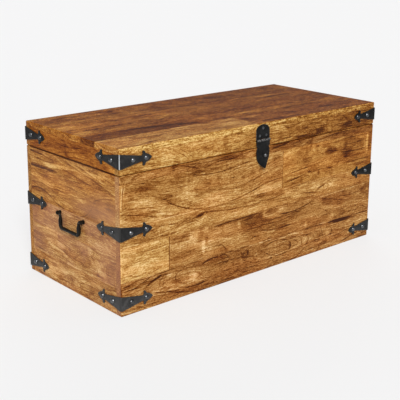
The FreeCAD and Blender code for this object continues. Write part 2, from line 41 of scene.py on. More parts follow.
# --------------------------------------------------------------- node helpers
class Tree:
    """A material's node tree, with sockets that can be added and multiplied."""

    def __init__(self, node_tree):
        self.nt = node_tree
        self.nt.nodes.clear()

    def call(self, node_group, *values):
        """Put a group in the tree, with its inputs in order; gives its outputs."""
        n = self.node("ShaderNodeGroup", node_tree=node_group)
        for i, v in enumerate(values):
            self.put(n.inputs[i], v)
        return [S(self, o) for o in n.outputs]

    def node(self, kind, **props):
        n = self.nt.nodes.new(kind)
        for k, v in props.items():
            setattr(n, k, v)
        return n

    def put(self, socket, value):
        if isinstance(value, S):
            self.nt.links.new(value.s, socket)
        elif value is not None:
            socket.default_value = value

    def math(self, op, a, b=None, c=None, clamp=False):
        n = self.node("ShaderNodeMath", operation=op, use_clamp=clamp)
        for i, v in enumerate((a, b, c)):
            if v is not None:
                self.put(n.inputs[i], v)
        return S(self, n.outputs[0])

    def vec(self, x, y, z):
        n = self.node("ShaderNodeCombineXYZ")
        for i, v in enumerate((x, y, z)):
            self.put(n.inputs[i], v)
        return S(self, n.outputs[0])

    def split(self, v):
        n = self.node("ShaderNodeSeparateXYZ")
        self.put(n.inputs[0], v)
        return [S(self, n.outputs[i]) for i in range(3)]

    def noise(self, v, scale=1.0, detail=2.0, rough=0.5, distortion=0.0):
        n = self.node("ShaderNodeTexNoise", noise_dimensions="3D")
        self.put(n.inputs["Vector"], v)
        n.inputs["Scale"].default_value = scale
        n.inputs["Detail"].default_value = detail
        n.inputs["Roughness"].default_value = rough
        n.inputs["Distortion"].default_value = distortion
        return S(self, n.outputs[0])

    def cells(self, v, scale=1.0, feature="F1"):
        n = self.node("ShaderNodeTexVoronoi", feature=feature)
        self.put(n.inputs["Vector"], v)
        n.inputs["Scale"].default_value = scale
        return S(self, n.outputs["Distance"])

    def step(self, x, a, b, lo=0.0, hi=1.0):
        n = self.node("ShaderNodeMapRange", interpolation_type="SMOOTHSTEP")
        self.put(n.inputs[0], x)
        for i, v in enumerate((a, b, lo, hi)):
            n.inputs[i + 1].default_value = v
        return S(self, n.outputs[0])

    def bell(self, x, centre, width):
        """exp(-((x - centre) / width)^2)"""
        d = (x - centre) * (1.0 / width)
        return self.math("EXPONENT", d * d * -1.0)

    def ramp(self, x, stops, mode="LINEAR"):
        n = self.node("ShaderNodeValToRGB")
        r = n.color_ramp
        r.interpolation = mode
        while len(r.elements) < len(stops):
            r.elements.new(0.5)
        for e, (p, c) in zip(r.elements, stops):
            e.position = p
            e.color = (*c, 1.0)
        self.put(n.inputs[0], x)
        return S(self, n.outputs[0])

    def mix(self, f, a, b, mode="MIX"):
        n = self.node("ShaderNodeMix", data_type="RGBA", blend_type=mode)
        self.put(n.inputs[0], f)
        self.put(n.inputs[6], a if isinstance(a, S) else (*a, 1.0))
        self.put(n.inputs[7], b if isinstance(b, S) else (*b, 1.0))
        return S(self, n.outputs[2])

    def bump(self, height, distance, strength=1.0, normal=None):
        n = self.node("ShaderNodeBump")
        n.inputs["Strength"].default_value = strength
        n.inputs["Distance"].default_value = distance
        self.put(n.inputs["Height"], height)
        if normal is not None:
            self.put(n.inputs["Normal"], normal)
        return S(self, n.outputs[0])

    def coords(self):
        return S(self, self.node("ShaderNodeTexCoord").outputs["Object"])

    def attribute(self, name):
        n = self.node("ShaderNodeAttribute", attribute_name=name)
        return S(self, n.outputs["Fac"])

    def surface(self, **sockets):
        p = self.node("ShaderNodeBsdfPrincipled")
        out = self.node("ShaderNodeOutputMaterial")
        self.nt.links.new(p.outputs[0], out.inputs[0])
        for k, v in sockets.items():
            self.put(p.inputs[k.replace("_", " ")], v)
        return p


class S:
    def __init__(self, tree, socket):
        self.t, self.s = tree, socket

    def __add__(self, o):
        return self.t.math("ADD", self, o)

    __radd__ = __add__

    def __mul__(self, o):
        return self.t.math("MULTIPLY", self, o)

    __rmul__ = __mul__

    def __sub__(self, o):
        return self.t.math("SUBTRACT", self, o)

    def __rsub__(self, o):
        return self.t.math("SUBTRACT", o, self)


def group(name, build, inputs, outputs):
    """A node group made by build(tree, *inputs), with all sockets plain numbers."""
    nt = bpy.data.node_groups.new(name, "ShaderNodeTree")
    for i in inputs.split():
        nt.interface.new_socket(i, in_out="INPUT", socket_type="NodeSocketFloat")
    for o in outputs.split():
        nt.interface.new_socket(o, in_out="OUTPUT", socket_type="NodeSocketFloat")
    t = Tree(nt)
    first = t.node("NodeGroupInput")
    last = t.node("NodeGroupOutput")
    made = build(t, *[S(t, first.outputs[k]) for k in range(len(inputs.split()))])
    for k, v in enumerate(made):
        t.put(last.inputs[k], v)
    return nt


# ----------------------------------------------------------------------- wood
# tone 0..1 to colour: near-black streaks, red-brown, orange-brown, honey, straw
WOOD = [(0.00, (0.040, 0.0090, 0.0010)),
        (0.20, (0.112, 0.0310, 0.0030)),
        (0.35, (0.185, 0.0620, 0.0080)),
        (0.50, (0.280, 0.1170, 0.0220)),
        (0.65, (0.385, 0.1920, 0.0470)),
        (0.80, (0.515, 0.2950, 0.0880)),
        (1.00, (0.700, 0.4850, 0.2150))]


BLOBS, LINES = 0.74, 0.84      # overall strength of the figure


def base_grain(t, g, c, n, r, q, w1, so, run, broad, bands, late, dash, speck, ribbon, blotch):
    """Tone of plain wood about 0, and the noises that its figure reuses."""
    # rings: broad heartwood zones, growth bands and thin late-wood lines
    b1 = t.noise(t.vec(r * (1 / 30.0) + so, g * (1 / 600.0), so), detail=1.0)
    b2 = t.noise(t.vec(r * (1 / 9.0) - so, g * (1 / 260.0), so), detail=1.5)
    b3 = t.noise(t.vec(r * (1 / 4.4), g * run, so * -1.0), detail=1.5, rough=0.6)
    line1 = t.step(t.math("ABSOLUTE", b2 - 0.5), 0.0, 0.035, 1.0, 0.0)
    line2 = t.step(t.math("ABSOLUTE", b3 - 0.52), 0.0, 0.06, 1.0, 0.0)
    patch = t.noise(t.vec(g * (1 / 60.0) + so, c * (1 / 16.0), n * (1 / 30.0) - so),
                    detail=1.5)
    # dashes drawn out along the grain lines, finer flecks and open pores
    f0 = t.noise(t.vec(g * (1 / 46.0) - so, q * (1 / 2.6), n * (1 / 3.0)),
                 detail=2.0, rough=0.60)
    f1 = t.noise(t.vec(g * (1 / 14.0), q * (1 / 2.1), n * (1 / 3.0) + so),
                 detail=3.0, rough=0.70)
    f2 = t.noise(t.vec(g * (1 / 4.6), q * (1 / 1.7), n * (1 / 3.0) - so),
                 detail=2.0, rough=0.65)
    pores = t.step(f2, 0.56, 0.66)
    # ripple across the grain, in patches with soft ends
    rb = t.noise(t.vec(g * (1 / 9.0) + so, c * (1 / 110.0), n * (1 / 110.0)),
                 detail=2.5)
    rm = t.step(t.noise(t.vec(g * (1 / 140.0) - so, c * (1 / 50.0), so), detail=1.0),
                0.42, 0.60)
    bl = t.noise(t.vec(g * (1 / 70.0) + so, c * (1 / 26.0) + w1 * 2.0, n * (1 / 60.0)),
                 detail=3.0, rough=0.6)
    v = (b1 - 0.5) * broad * 2.0 + (b2 - 0.5) * bands * 1.2 + 0.05
    v = v + (b3 - 0.5) * bands * 1.2
    v = v - (line1 * t.step(patch, 0.36, 0.56) + line2 * 0.6) * late
    v = v + (f0 - 0.5) * dash * 1.5 + (f1 - 0.5) * dash * 1.7
    v = v + (f2 - 0.5) * speck * 2.0 - pores * 0.10
    v = v + (rb - 0.5) * rm * ribbon * 4.0 + (bl - 0.5) * blotch * 2.0
    rd = t.noise(t.vec(g * (1 / 160.0) - so, c * (1 / 40.0), n * (1 / 60.0) + so),
                 detail=2.0)
    hue = t.step(rd, 0.42, 0.66, 0.0, 0.40)
    rough = pores * 0.14 - (f1 - 0.5) * 0.12 + 0.45
    height = b3 * 0.25 + f2 * 0.5 - pores * 0.6 + f1 * 0.3
    return v, f1, b3, patch, hue, rough, height


def blob(t, v, g, c, w2, streak, gb, cb, hg, hc, sl, amount):
    """A lighter or darker patch, soft and streaky at its rim."""
    gg = g - gb
    du = t.math("DIVIDE", gg + w2 * hg * 0.5, hg)
    dv = t.math("DIVIDE", c - cb - gg * sl + w2 * hc * 0.9, hc)
    return (v + t.step(du * du + dv * dv, 0.1, 1.9, 1.0, 0.0) * streak * amount,)


def grain_line(t, v, p, q, w2, f1, mid, half, qm, lin, quad, width, amount):
    """A dark line on the curve q = qm + lin u + quad u^2, u = (p - mid) / half."""
    u = t.math("DIVIDE", p - mid, half)
    path = q - qm - u * lin - u * u * quad + w2 * width * 1.6
    d = t.math("DIVIDE", path, width * 1.15)
    body = t.math("EXPONENT", d * d * -1.0)
    reach = t.step(t.math("ABSOLUTE", u), 0.70, 1.05, 1.0, 0.0)
    rag = t.step(f1, 0.30, 0.50, 0.55, 1.15)
    return (v - body * reach * rag * amount,)


base_grain = group("wood_base", base_grain,
                   "g c n r q w1 seed run broad bands late dash speck ribbon blotch",
                   "tone f1 b3 patch hue rough height")
blob = group("wood_blob", blob, "v g c w2 streak gb cb hg hc slope amount", "v")
grain_line = group("wood_line", grain_line,
                   "v p q w2 f1 mid half qm lin quad width amount", "v")


def wood(name, along, across, depth, seed, tone=0.55, red=0.0, sheen_haze=0.0, pith=(0.0, 60.0),
         slope=0.0, arches=(), bends=(), wander=14.0, run=110.0, broad=0.18, bands=0.22,
         late=0.17, dash=0.50, speck=0.66, ribbon=0.025, blotch=0.20, drift=0.0,
         blobs=(), lines=(), arcs=(), knots=(), edges=(), corner=(), front=None, end=None,
         blue=1.0, sheen_patches=()):
    """Solid wood: growth rings round a pith line under the board's face.

    along, across and depth are (axis, sign, offset in mm): the board's own
    coordinates g, c and n in mm, n 0 on its outer face. pith is (c, depth) of
    the pith line; arches and bends are (g, width, amount) swells of its depth
    and of its place across. run is how far in mm one ring keeps its tone.
    sheen_haze is a painted sheen: how much greyish haze is laid over the colour
    in patches, where light glances off the lacquer. blobs (g, c, half length, half width,
    slope, amount) are lighter or darker patches. lines (g0, c0, c mid, g1, c1, width,
    amount) are dark grain lines, and arcs are the same with g and c swapped.
    knots are (g, c, radius); edges (axis, at, width, amount) tone the board
    near an arris or a glue line, and along the seam of lid and body they are
    painted shade; corner (c0, c1, amount) paints light on its rounded corner in
    patches, with wear: a highlight where amount is above 0, shade where it is below.
    front (tone, red) is a painted highlight on the board's narrow front edge, how its
    tone and redness differ from its face, and end (tone, milkiness) how its end grain
    at g 0 does, darker by the arris.
    blue below 1 makes the whole board more golden, above 1 greyer. sheen_patches
    (g, c, width, height, amount) are places where a painted sheen lays more greyish haze over the colour.
    """
    m = bpy.data.materials.new(name)
    m.use_nodes = True
    t = Tree(m.node_tree)
    xyz = t.split(t.coords())

    def axis(a):
        i, sign, off = a
        return xyz[i] * (1000.0 * sign) + off

    g, c, n = axis(along), axis(across), axis(depth)
    so = seed * 7.31

    # slow and quick wander of the grain
    w1 = t.noise(t.vec(g * (1 / 190.0) + so, c * (1 / 80.0) - so, n * (1 / 80.0)),
                 detail=1.0) - 0.5
    w2 = t.noise(t.vec(g * (1 / 40.0) - so, c * (1 / 16.0) + so, n * (1 / 16.0)),
                 detail=2.0) - 0.5
    cc = c - pith[0] + g * (-slope)
    nn = n * 1.0 + pith[1]
    for at, width, amount in bends:
        cc = cc - t.bell(g, at, width) * amount
    for at, width, amount in arches:
        nn = nn + t.bell(g, at, width) * amount
    cc = cc + w1 * (wander * 2.0)
    r = t.math("SQRT", cc * cc + nn * nn) + w1 * wander + w2 * (wander * 0.34)
    dark = None
    for kg, kc, kr in knots:
        d = t.math("SQRT", (g - kg) * (g - kg) * 0.45 + (c - kc) * (c - kc) + 1.0)
        near = t.math("EXPONENT", d * (-1.0 / (kr * 1.8)))
        r = r + near * (kr * 3.4)
        core = t.step(d + w2 * (kr * 0.9), kr * 0.30, kr * 1.1, 1.0, 0.0)
        dark = core if dark is None else t.math("MAXIMUM", dark, core)

    v, f1, b3, patch, hue, rough, height = t.call(
        base_grain, g, c, n, r, cc, w1, so, 1.0 / run, broad, bands, late, dash, speck,
        ribbon, blotch)
    v = v + tone
    if drift:
        v = v + (g - 450.0) * (drift / 450.0)
    streak = b3 * 1.1 + 0.45
    for gb, cb, hg, hc, sl, amount in blobs:
        amount *= BLOBS
        v, = t.call(blob, v, g, c, w2, streak, gb, cb, hg, hc, sl, amount)
    for block, p, q in ((lines, g, c), (arcs, c, g)):
        for p0, qa, qm, p1, qb, width, amount in block:
            v, = t.call(grain_line, v, p, q, w2, f1, (p0 + p1) / 2.0, (p1 - p0) / 2.0,
                        qm, (qb - qa) / 2.0, (qa + qb) / 2.0 - qm, width, amount * LINES)
    if dark is not None:
        v = v - dark * 0.12
    for axis_c, at, width, amount in edges:
        q = g if axis_c == "g" else c
        v = v + t.step(t.math("ABSOLUTE", q - at), width * 0.5, width, 1.0,
                       0.0) * amount
    # painted highlight and shade: the rounded corner lightened where amount is above 0 and darkened where it is
    # below, in patches, with wear
    for c0, c1, amount in corner:
        arc = t.step(g + n, 2.7, 3.4, 1.0, 0.0)
        run = t.step(t.math("ABSOLUTE", c - (c0 + c1) / 2.0), (c1 - c0) * 0.40,
                     (c1 - c0) * 0.52, 1.0, 0.0)
        v = v + arc * run * t.step(patch, 0.35, 0.60, 0.5, 1.0) * amount
    hue = hue + red
    # painted highlight: the narrow front edge made lighter and less red than the face
    if front:
        strip = t.step(c, 0.6, 1.6, 1.0, 0.0)
        v = v + strip * front[0]
        hue = hue + strip * front[1]
    if end:
        tip = t.step(g, 0.15, 0.50, 1.0, 0.0)
        v = v + tip * (t.step(n, 2.2, 4.0, -0.20, 0.0) + end[0])
    v = t.math("ADD", v, 0.0, clamp=True)
    colour = t.ramp(v, WOOD)
    # hue: redder and browner places, with a slow drift
    hue = t.math("ADD", hue, 0.0, clamp=True)
    colour = t.mix(hue, colour, t.mix(1.0, colour, (1.0, 0.74, 0.55), "MULTIPLY"))
    if sheen_haze:
        # painted sheen: a greyish haze laid over the colour in patches, where light glances off the lacquer
        sheen_cloud = t.noise(t.vec(g * (1 / 90.0) + so, c * (1 / 60.0), n * (1 / 60.0)),
                       detail=2.0)
        colour = t.mix(t.step(sheen_cloud, 0.30, 0.62, sheen_haze * 0.3, sheen_haze), colour,
                       t.mix(0.5, colour, (0.46, 0.225, 0.135)))
    # painted sheen at given places: more of the same greyish haze
    for gb, cb, wg, wc, amount in sheen_patches:
        sheen_spot = t.bell(g, gb, wg) * t.bell(c, cb, wc) * amount
        colour = t.mix(sheen_spot, colour, t.mix(0.5, colour, (0.46, 0.225, 0.135)))
    if blue != 1.0:
        colour = t.mix(1.0, colour, (1.0, 1.0, blue), "MULTIPLY")
    if end:
        colour = t.mix(tip * end[1], colour, t.mix(0.6, colour, (0.46, 0.225, 0.150)))
    t.surface(Base_Color=colour, Roughness=rough, Normal=t.bump(height, 0.0003, 0.6),
              Specular_IOR_Level=0.06)
    return m


FRONT = dict(along=(0, 1, 450.0), across=(2, 1, 0.0), depth=(1, 1, 200.0))
BACK = dict(along=(0, 1, 450.0), across=(2, 1, 0.0), depth=(1, -1, 200.0))
LEFT = dict(along=(1, 1, 200.0), across=(2, 1, 0.0), depth=(0, 1, 450.0), dash=0.60, speck=0.70)
RIGHT = dict(along=(1, 1, 200.0), across=(2, 1, 0.0), depth=(0, -1, 450.0))
TOP = dict(along=(0, 1, 450.0), across=(1, 1, 200.0), depth=(2, -1, 400.0), dash=0.75, speck=0.80)

# the figure that is seen on each board, from its own end and edge in mm
FIGURE = {
    "front_board_1": dict(lines=((2.0, 70.2, 73.5, 46.0, 79.1, 1.1, 0.4), (11.0, 51.6, 65.7, 91.0, 80.0, 1.1, 0.4), (73.0, 59.3, 67.5, 122.0, 77.6, 1.8, 0.5), (91.0, 36.8, 26.8, 179.0, 21.4, 1.4, 0.46), (132.0, 27.9, 4.2, 339.0, 2.2, 1.3, 0.44), (168.0, 30.9, 20.5, 259.0, 22.0, 1.1, 0.4), (244.0, 66.9, 76.9, 304.0, 75.8, 1.5, 0.6), (304.0, 75.2, 77.1, 342.0, 61.6, 1.2, 0.46), (170.0, 43.6, 36.2, 200.0, 31.7, 1.0, 0.3), (120.0, 79.1, 83.5, 244.0, 77.6, 1.0, 0.34), (40.0, 15.5, 9.3, 76.0, 0.7, 1.2, 0.4), (286.0, 56.9, 55.4, 463.0, 36.2, 0.9, 0.22), (304.0, 14.0, 21.5, 463.0, 14.0, 0.9, 0.28), (383.0, 55.4, 70.2, 407.0, 65.8, 1.0, 0.4), (386.0, 49.5, 44.5, 408.0, 56.9, 1.0, 0.4), (463.0, 59.8, 71.8, 564.0, 58.4, 1.1, 0.4), (463.0, 51.0, 28.7, 561.0, 34.4, 1.0, 0.36), (440.0, 68.7, 79.2, 605.0, 56.9, 1.0, 0.34), (552.0, 3.6, 6.8, 635.0, 36.2, 1.2, 0.4), (647.0, 77.6, 89.9, 703.0, 30.3, 1.3, 0.46), (629.0, 4.2, -0.1, 704.0, 33.2, 1.3, 0.46), (644.0, 62.8, 58.6, 665.0, 45.1, 1.0, 0.36), (647.0, 33.2, 36.2, 691.0, 33.2, 1.0, 0.34), (617.0, 77.6, 79.4, 700.0, 77.6, 1.1, 0.44), (783.0, 6.0, 14.9, 851.0, 19.9, 1.6, 0.5), (810.0, 76.4, 77.0, 897.0, 76.4, 1.1, 0.46), (721.0, 30.3, 32.6, 812.0, 42.1, 1.0, 0.34), (404.0, 79.4, 79.4, 463.0, 79.4, 0.9, -0.3), (440.0, 80.0, 80.0, 528.0, 78.8, 1.1, -0.36), (528.0, 71.7, 75.5, 629.0, 62.8, 1.4, -0.24), (64.0, 86.5, 84.6, 256.0, 83.5, 0.9, -0.14),),
        arcs=((45.1, 114.3, 115.3, 73.2, 129.1, 1.0, 0.36), (45.1, 124.6, 126.1, 71.7, 137.9, 1.0, 0.34), (48.0, 164.6, 163.5, 73.2, 179.3, 1.0, 0.38), (33.8, 558.0, 568.4, 57.5, 558.0, 1.2, 0.46), (36.2, 590.6, 592.4, 62.8, 569.9, 1.0, 0.34), (33.2, 605.4, 611.9, 65.8, 593.6, 1.1, 0.4), (33.2, 629.1, 636.6, 71.7, 599.5, 1.0, 0.36), (36.2, 729.6, 735.9, 68.7, 723.7, 1.0, 0.34),),
        blobs=((771, 76.1, 46, 3.6, -0.02, -1.05), (774, 70.6, 42, 1.8, -0.02, -0.8), (511, 49.5, 47, 14.2, 0, -0.1), (710, 22.9, 9, 7.1, 0, -0.30), (493, 26.7, 4, 2.4, 0, -0.6), (564, 45.1, 5, 11.8, 0, -0.26), (762, 61.3, 38, 7.1, 0, -0.12), (721, 48.0, 12, 11.8, 0, 0.14), (623, 48.0, 8, 14.8, 0, 0.16), (528, 74.6, 71, 3.6, 0, 0.2), (682, 3.6, 47, 3.6, 0, -0.2), (780, 33.2, 36, 8.9, 0.1, -0.12), (514, 15.5, 59, 5.3, -0.1, 0.1), (94, 65.8, 27, 4.7, 0.4, -0.26), (147, 69.3, 15, 5.3, 0, 0.24), (218, 45.1, 13, 11.8, 0, 0.2), (244, 21.4, 18, 3.0, 0, -0.34), (395, 58.4, 13, 10.1, 0, -0.16), (396, 58.0, 5, 4.2, 0, 0.22), (375, 48.0, 18, 7.7, 0, 0.14), (315, 45.1, 77, 11.8, 0, -0.06), (422, 62.8, 12, 8.9, 0, 0.1), (460, 56.9, 15, 17.8, 0, -0.14), (20, 9.6, 27, 5.3, -0.1, 0.1), (256, 9.6, 89, 4.1, -0.05, -0.16), (156, 51.0, 27, 14.8, 0, -0.06), (286, 71.7, 36, 5.9, 0, -0.1),),
        knots=((395, 57.5, 9.0),)),
    "front_board_2_left": dict(lines=((20.0, 97.7, 87.3, 120.0, 97.1, 1.0, 0.34), (2.0, 77.6, 89.3, 88.0, 86.5, 0.8, 0.16), (5.0, 148.0, 146.2, 138.0, 148.6, 0.7, 0.14), (8.0, 122.0, 118.5, 132.0, 114.6, 0.7, 0.16),),
        blobs=((64, 157.5, 68, 7.1, 0, 0.1), (79, 119.0, 59, 13.0, 0, 0.02), (120, 110.1, 18, 11.8, 0, -0.05), (14, 122.0, 15, 29.6, 0, 0.05),)),
    "front_board_2_right": dict(lines=((514.0, 144.5, 142.1, 659.0, 158.1, 1.3, 0.5), (440.0, 140.3, 133.9, 629.0, 144.5, 0.9, 0.34), (440.0, 130.9, 124.6, 605.0, 137.4, 0.9, 0.34), (440.0, 116.7, 105.8, 570.0, 107.8, 1.1, 0.44), (457.0, 111.6, 103.2, 564.0, 104.8, 0.9, 0.3), (469.0, 122.6, 117.5, 588.0, 129.4, 0.8, 0.24), (286.0, 158.7, 161.6, 463.0, 162.2, 1.1, 0.4), (147.0, 154.5, 155.7, 212.0, 153.9, 0.9, 0.34), (147.0, 144.5, 145.8, 209.0, 146.2, 0.9, 0.28), (298.0, 101.3, 103.6, 331.0, 83.5, 1.2, 0.4), (310.0, 84.7, 79.9, 330.0, 84.7, 1.0, 0.34), (381.0, 113.1, 104.2, 463.0, 86.5, 0.9, 0.26), (375.0, 130.9, 124.3, 463.0, 127.9, 0.9, 0.24), (682.0, 154.5, 141.4, 801.0, 127.9, 1.0, 0.3), (665.0, 127.9, 117.9, 739.0, 86.5, 1.0, 0.26), (753.0, 151.6, 142.9, 883.0, 157.5, 1.0, 0.26), (827.0, 77.6, 98.9, 892.0, 80.6, 1.0, 0.3), (795.0, 86.5, 106.4, 895.0, 130.9, 0.9, 0.22), (694.0, 139.7, 124.6, 824.0, 133.8, 0.8, 0.22), (659.0, 158.4, 161.9, 897.0, 164.3, 1.0, -0.34), (440.0, 82.9, 81.8, 614.0, 81.1, 0.8, 0.14),),
        arcs=((105.7, 564.0, 584.7, 127.9, 587.6, 1.0, 0.34),),
        blobs=((173, 153.0, 33, 10.1, -0.0, -0.2), (221, 145.6, 15, 14.8, 0, 0.16), (194, 108.7, 50, 13.6, 0, -0.16), (252, 114.6, 5, 18.9, 0, 0.3), (241, 142.7, 9, 17.8, 0, -0.12), (261, 157.5, 8, 8.9, 0, 0.26), (262, 133.8, 5, 14.8, 0, -0.3), (327, 158.7, 41, 4.1, -0.0, -0.24), (315, 142.7, 44, 8.9, 0, 0.12), (372, 144.2, 7, 10.1, -0.5, 0.34), (422, 136.8, 44, 24.9, -0.05, -0.24), (398, 157.5, 36, 5.9, 0, -0.2), (383, 167.5, 5, 3.0, 0, 0.4), (321, 90.9, 14, 7.7, -0.3, -0.14), (357, 107.2, 33, 14.8, -0.1, 0.06), (274, 107.2, 18, 11.8, 0, -0.08), (489, 156.9, 24, 7.7, 0, -0.3), (449, 153.9, 10, 6.5, 0, -0.24), (461, 157.5, 3, 8.9, 0, 0.2), (537, 153.0, 27, 7.7, 0, 0.1), (514, 124.9, 68, 14.8, 0, -0.1), (626, 90.9, 5, 8.3, 0, 0.26), (588, 89.4, 41, 8.3, 0, 0.04), (733, 139.7, 56, 13.0, -0.2, -0.18), (731, 92.4, 12, 10.1, 0, 0.24), (771, 101.3, 24, 8.3, -0.3, -0.12), (700, 145.6, 9, 7.7, 0, -0.16), (863, 127.9, 27, 32.5, 0, 0.06), (647, 116.1, 36, 14.8, 0, 0.04),)),
    "front_board_3": dict(lines=((265.0, 202.4, 191.4, 463.0, 192.4, 1.1, 0.42), (168.0, 190.0, 193.2, 239.0, 197.4, 0.9, 0.26), (94.0, 198.9, 196.1, 179.0, 190.0, 1.0, 0.28), (274.0, 210.7, 211.5, 463.0, 215.2, 0.9, 0.26), (440.0, 195.3, 192.5, 540.0, 198.9, 1.1, 0.4), (659.0, 178.8, 187.1, 700.0, 192.4, 1.2, 0.5), (605.0, 187.1, 179.0, 685.0, 175.2, 1.0, 0.34), (703.0, 194.5, 193.0, 716.0, 186.5, 0.9, 0.36), (700.0, 176.7, 180.7, 716.0, 187.1, 0.9, 0.36), (706.0, 201.3, 199.0, 730.0, 187.7, 0.9, 0.3), (706.0, 172.3, 176.1, 730.0, 187.1, 0.9, 0.3), (528.0, 204.8, 211.9, 694.0, 215.2, 0.9, 0.24), (730.0, 204.8, 200.2, 818.0, 187.1, 0.9, 0.22), (102.0, 181.1, 184.5, 221.0, 190.0, 0.8, 0.2), (537.0, 175.2, 172.5, 665.0, 167.8, 0.9, 0.28), (88.0, 213.1, 212.8, 250.0, 213.1, 1.0, -0.34), (605.0, 164.9, 163.5, 765.0, 167.8, 0.9, -0.24),),
        blobs=((239, 198.9, 13, 3.8, 0.15, -0.6), (265, 201.9, 18, 2.1, -0.05, -0.4), (256, 187.1, 18, 5.3, 0, 0.2), (55, 178.2, 24, 7.7, -0.1, -0.14), (97, 187.1, 10, 7.1, 0, -0.14), (156, 190.0, 44, 11.8, -0.0, 0.08), (360, 201.9, 47, 8.9, 0, -0.1), (389, 178.2, 65, 6.5, 0, 0.14), (197, 178.2, 53, 7.7, 0, 0.1), (629, 181.1, 36, 4.7, -0.15, -0.26), (682, 190.0, 18, 2.7, 0.25, -0.46), (700, 210.7, 59, 5.3, 0, -0.1), (555, 181.1, 24, 7.7, 0, -0.08), (789, 190.0, 33, 11.8, 0, -0.04), (860, 178.2, 36, 7.7, 0, -0.12), (724, 188.5, 9, 5.3, 0, 0.16), (26, 167.8, 27, 4.7, 0, 0.16),),
        knots=((241, 196.5, 7.0),)),
    "front_board_4_left": dict(lines=((197.0, 304.8, 297.2, 425.0, 311.9, 1.1, 0.46), (310.0, 297.7, 304.8, 425.0, 306.0, 1.0, 0.34), (132.0, 255.1, 226.0, 256.0, 213.1, 1.5, 0.48), (250.0, 213.7, 215.9, 463.0, 240.3, 1.3, 0.5), (440.0, 234.4, 240.1, 526.0, 245.1, 1.2, 0.4), (5.0, 261.6, 252.7, 105.0, 246.2, 1.1, 0.36), (8.0, 244.8, 235.2, 114.0, 218.1, 1.2, 0.34), (5.0, 234.4, 226.7, 85.0, 215.2, 1.0, 0.26), (304.0, 240.3, 249.6, 452.0, 262.5, 0.9, 0.22), (330.0, 290.6, 295.9, 431.0, 293.6, 0.9, 0.26), (244.0, 255.1, 252.0, 404.0, 265.5, 0.8, 0.18), (339.0, 227.0, 230.9, 463.0, 249.2, 0.9, 0.24), (179.0, 269.9, 265.5, 280.0, 269.9, 0.8, 0.2), (79.0, 278.8, 265.5, 156.0, 246.2, 0.9, 0.22),),
        blobs=((76, 301.9, 56, 11.2, -0.02, -0.3), (173, 293.6, 38, 14.8, -0.05, -0.2), (233, 307.8, 24, 5.3, -0.0, -0.34), (274, 308.4, 33, 5.9, -0.05, -0.18), (70, 265.5, 33, 10.1, -0.02, 0.22), (194, 256.6, 36, 11.8, -0.1, 0.22), (144, 255.1, 33, 13.6, -0.35, -0.26), (88, 265.5, 6, 17.8, 0, 0.12), (52, 237.4, 56, 13.0, -0.2, -0.14), (215, 231.4, 33, 7.7, -0.45, -0.16), (132, 228.5, 27, 7.1, -0.1, 0.16), (349, 268.4, 13, 7.1, 0, -0.3), (357, 253.6, 59, 13.0, 0, 0.06), (404, 272.9, 30, 7.1, 0.15, -0.1), (34, 302.4, 8, 11.8, 0, 0.1), (298, 281.7, 5, 14.8, 0, -0.16), (197, 290.6, 4, 14.8, 0, 0.16), (219, 287.7, 2, 14.8, 0, 0.16), (256, 278.8, 24, 7.1, -0.1, -0.2), (506, 301.9, 20, 6.5, 0, -0.28), (475, 269.9, 27, 11.8, 0, 0.08), (446, 275.8, 9, 8.9, 0, -0.14), (286, 240.3, 36, 10.7, 0, 0.1), (173, 311.3, 18, 3.0, 0, -0.16),)),
    "front_board_4_right": dict(lines=((528.0, 243.3, 250.9, 629.0, 255.1, 1.2, 0.4), (528.0, 225.5, 231.0, 629.0, 240.3, 1.1, 0.38), (534.0, 216.1, 218.9, 647.0, 231.4, 1.0, 0.3), (700.0, 289.1, 284.2, 753.0, 280.3, 1.2, 0.4), (765.0, 313.7, 311.8, 883.0, 313.7, 1.1, 0.38), (762.0, 296.5, 294.1, 866.0, 296.5, 0.9, 0.34), (765.0, 274.3, 271.0, 878.0, 272.9, 1.1, 0.38), (768.0, 259.6, 256.6, 895.0, 260.4, 1.0, 0.32), (771.0, 243.3, 241.5, 898.0, 243.9, 1.1, 0.36), (635.0, 234.4, 240.3, 724.0, 234.4, 1.0, 0.3), (528.0, 269.9, 272.8, 647.0, 268.4, 0.9, 0.22), (647.0, 305.4, 307.8, 759.0, 303.9, 0.9, 0.26), (706.0, 219.6, 218.1, 824.0, 219.0, 0.9, 0.22), (605.0, 250.7, 258.4, 694.0, 259.6, 1.0, 0.26),),
        blobs=((552, 302.4, 27, 10.1, 0, 0.2), (605, 299.5, 24, 13.0, 0.1, -0.22), (614, 278.8, 12, 8.9, 0, -0.18), (644, 293.6, 14, 14.8, 0, 0.22), (721, 286.2, 24, 10.7, -0.05, -0.42), (697, 302.4, 18, 5.3, 0, -0.14), (807, 278.8, 44, 38.5, 0, -0.26), (768, 302.4, 7, 17.8, 0, 0.1), (786, 269.9, 21, 13.0, 0, -0.16), (876, 284.7, 5, 29.6, 0, 0.34), (888, 293.6, 8, 24.9, 0, -0.3), (854, 287.7, 9, 20.7, 0, -0.14), (632, 240.9, 7, 3.0, 0, -0.5), (670, 231.4, 5, 3.6, 0, -0.46), (715, 240.3, 14, 4.7, -0.2, -0.36), (647, 244.8, 18, 8.9, 0, -0.16), (691, 258.1, 33, 7.7, 0, 0.1), (564, 264.0, 33, 11.8, 0.1, 0.1), (848, 228.5, 27, 5.3, -0.1, -0.2), (765, 231.4, 47, 7.1, 0, 0.06), (827, 299.5, 4, 23.7, 0, 0.14),)),
    "front_board_5": dict(lines=((165.0, 335.0, 327.7, 236.0, 315.8, 1.3, 0.46), (173.0, 335.6, 328.4, 360.0, 336.2, 1.0, 0.34), (256.0, 317.2, 324.6, 375.0, 318.7, 1.0, 0.34), (315.0, 317.2, 328.1, 428.0, 333.5, 1.0, 0.26), (481.0, 328.5, 331.3, 567.0, 342.4, 1.3, 0.34), (552.0, 324.6, 333.8, 665.0, 336.5, 1.0, 0.3), (647.0, 317.2, 331.3, 810.0, 332.0, 1.0, 0.26),),
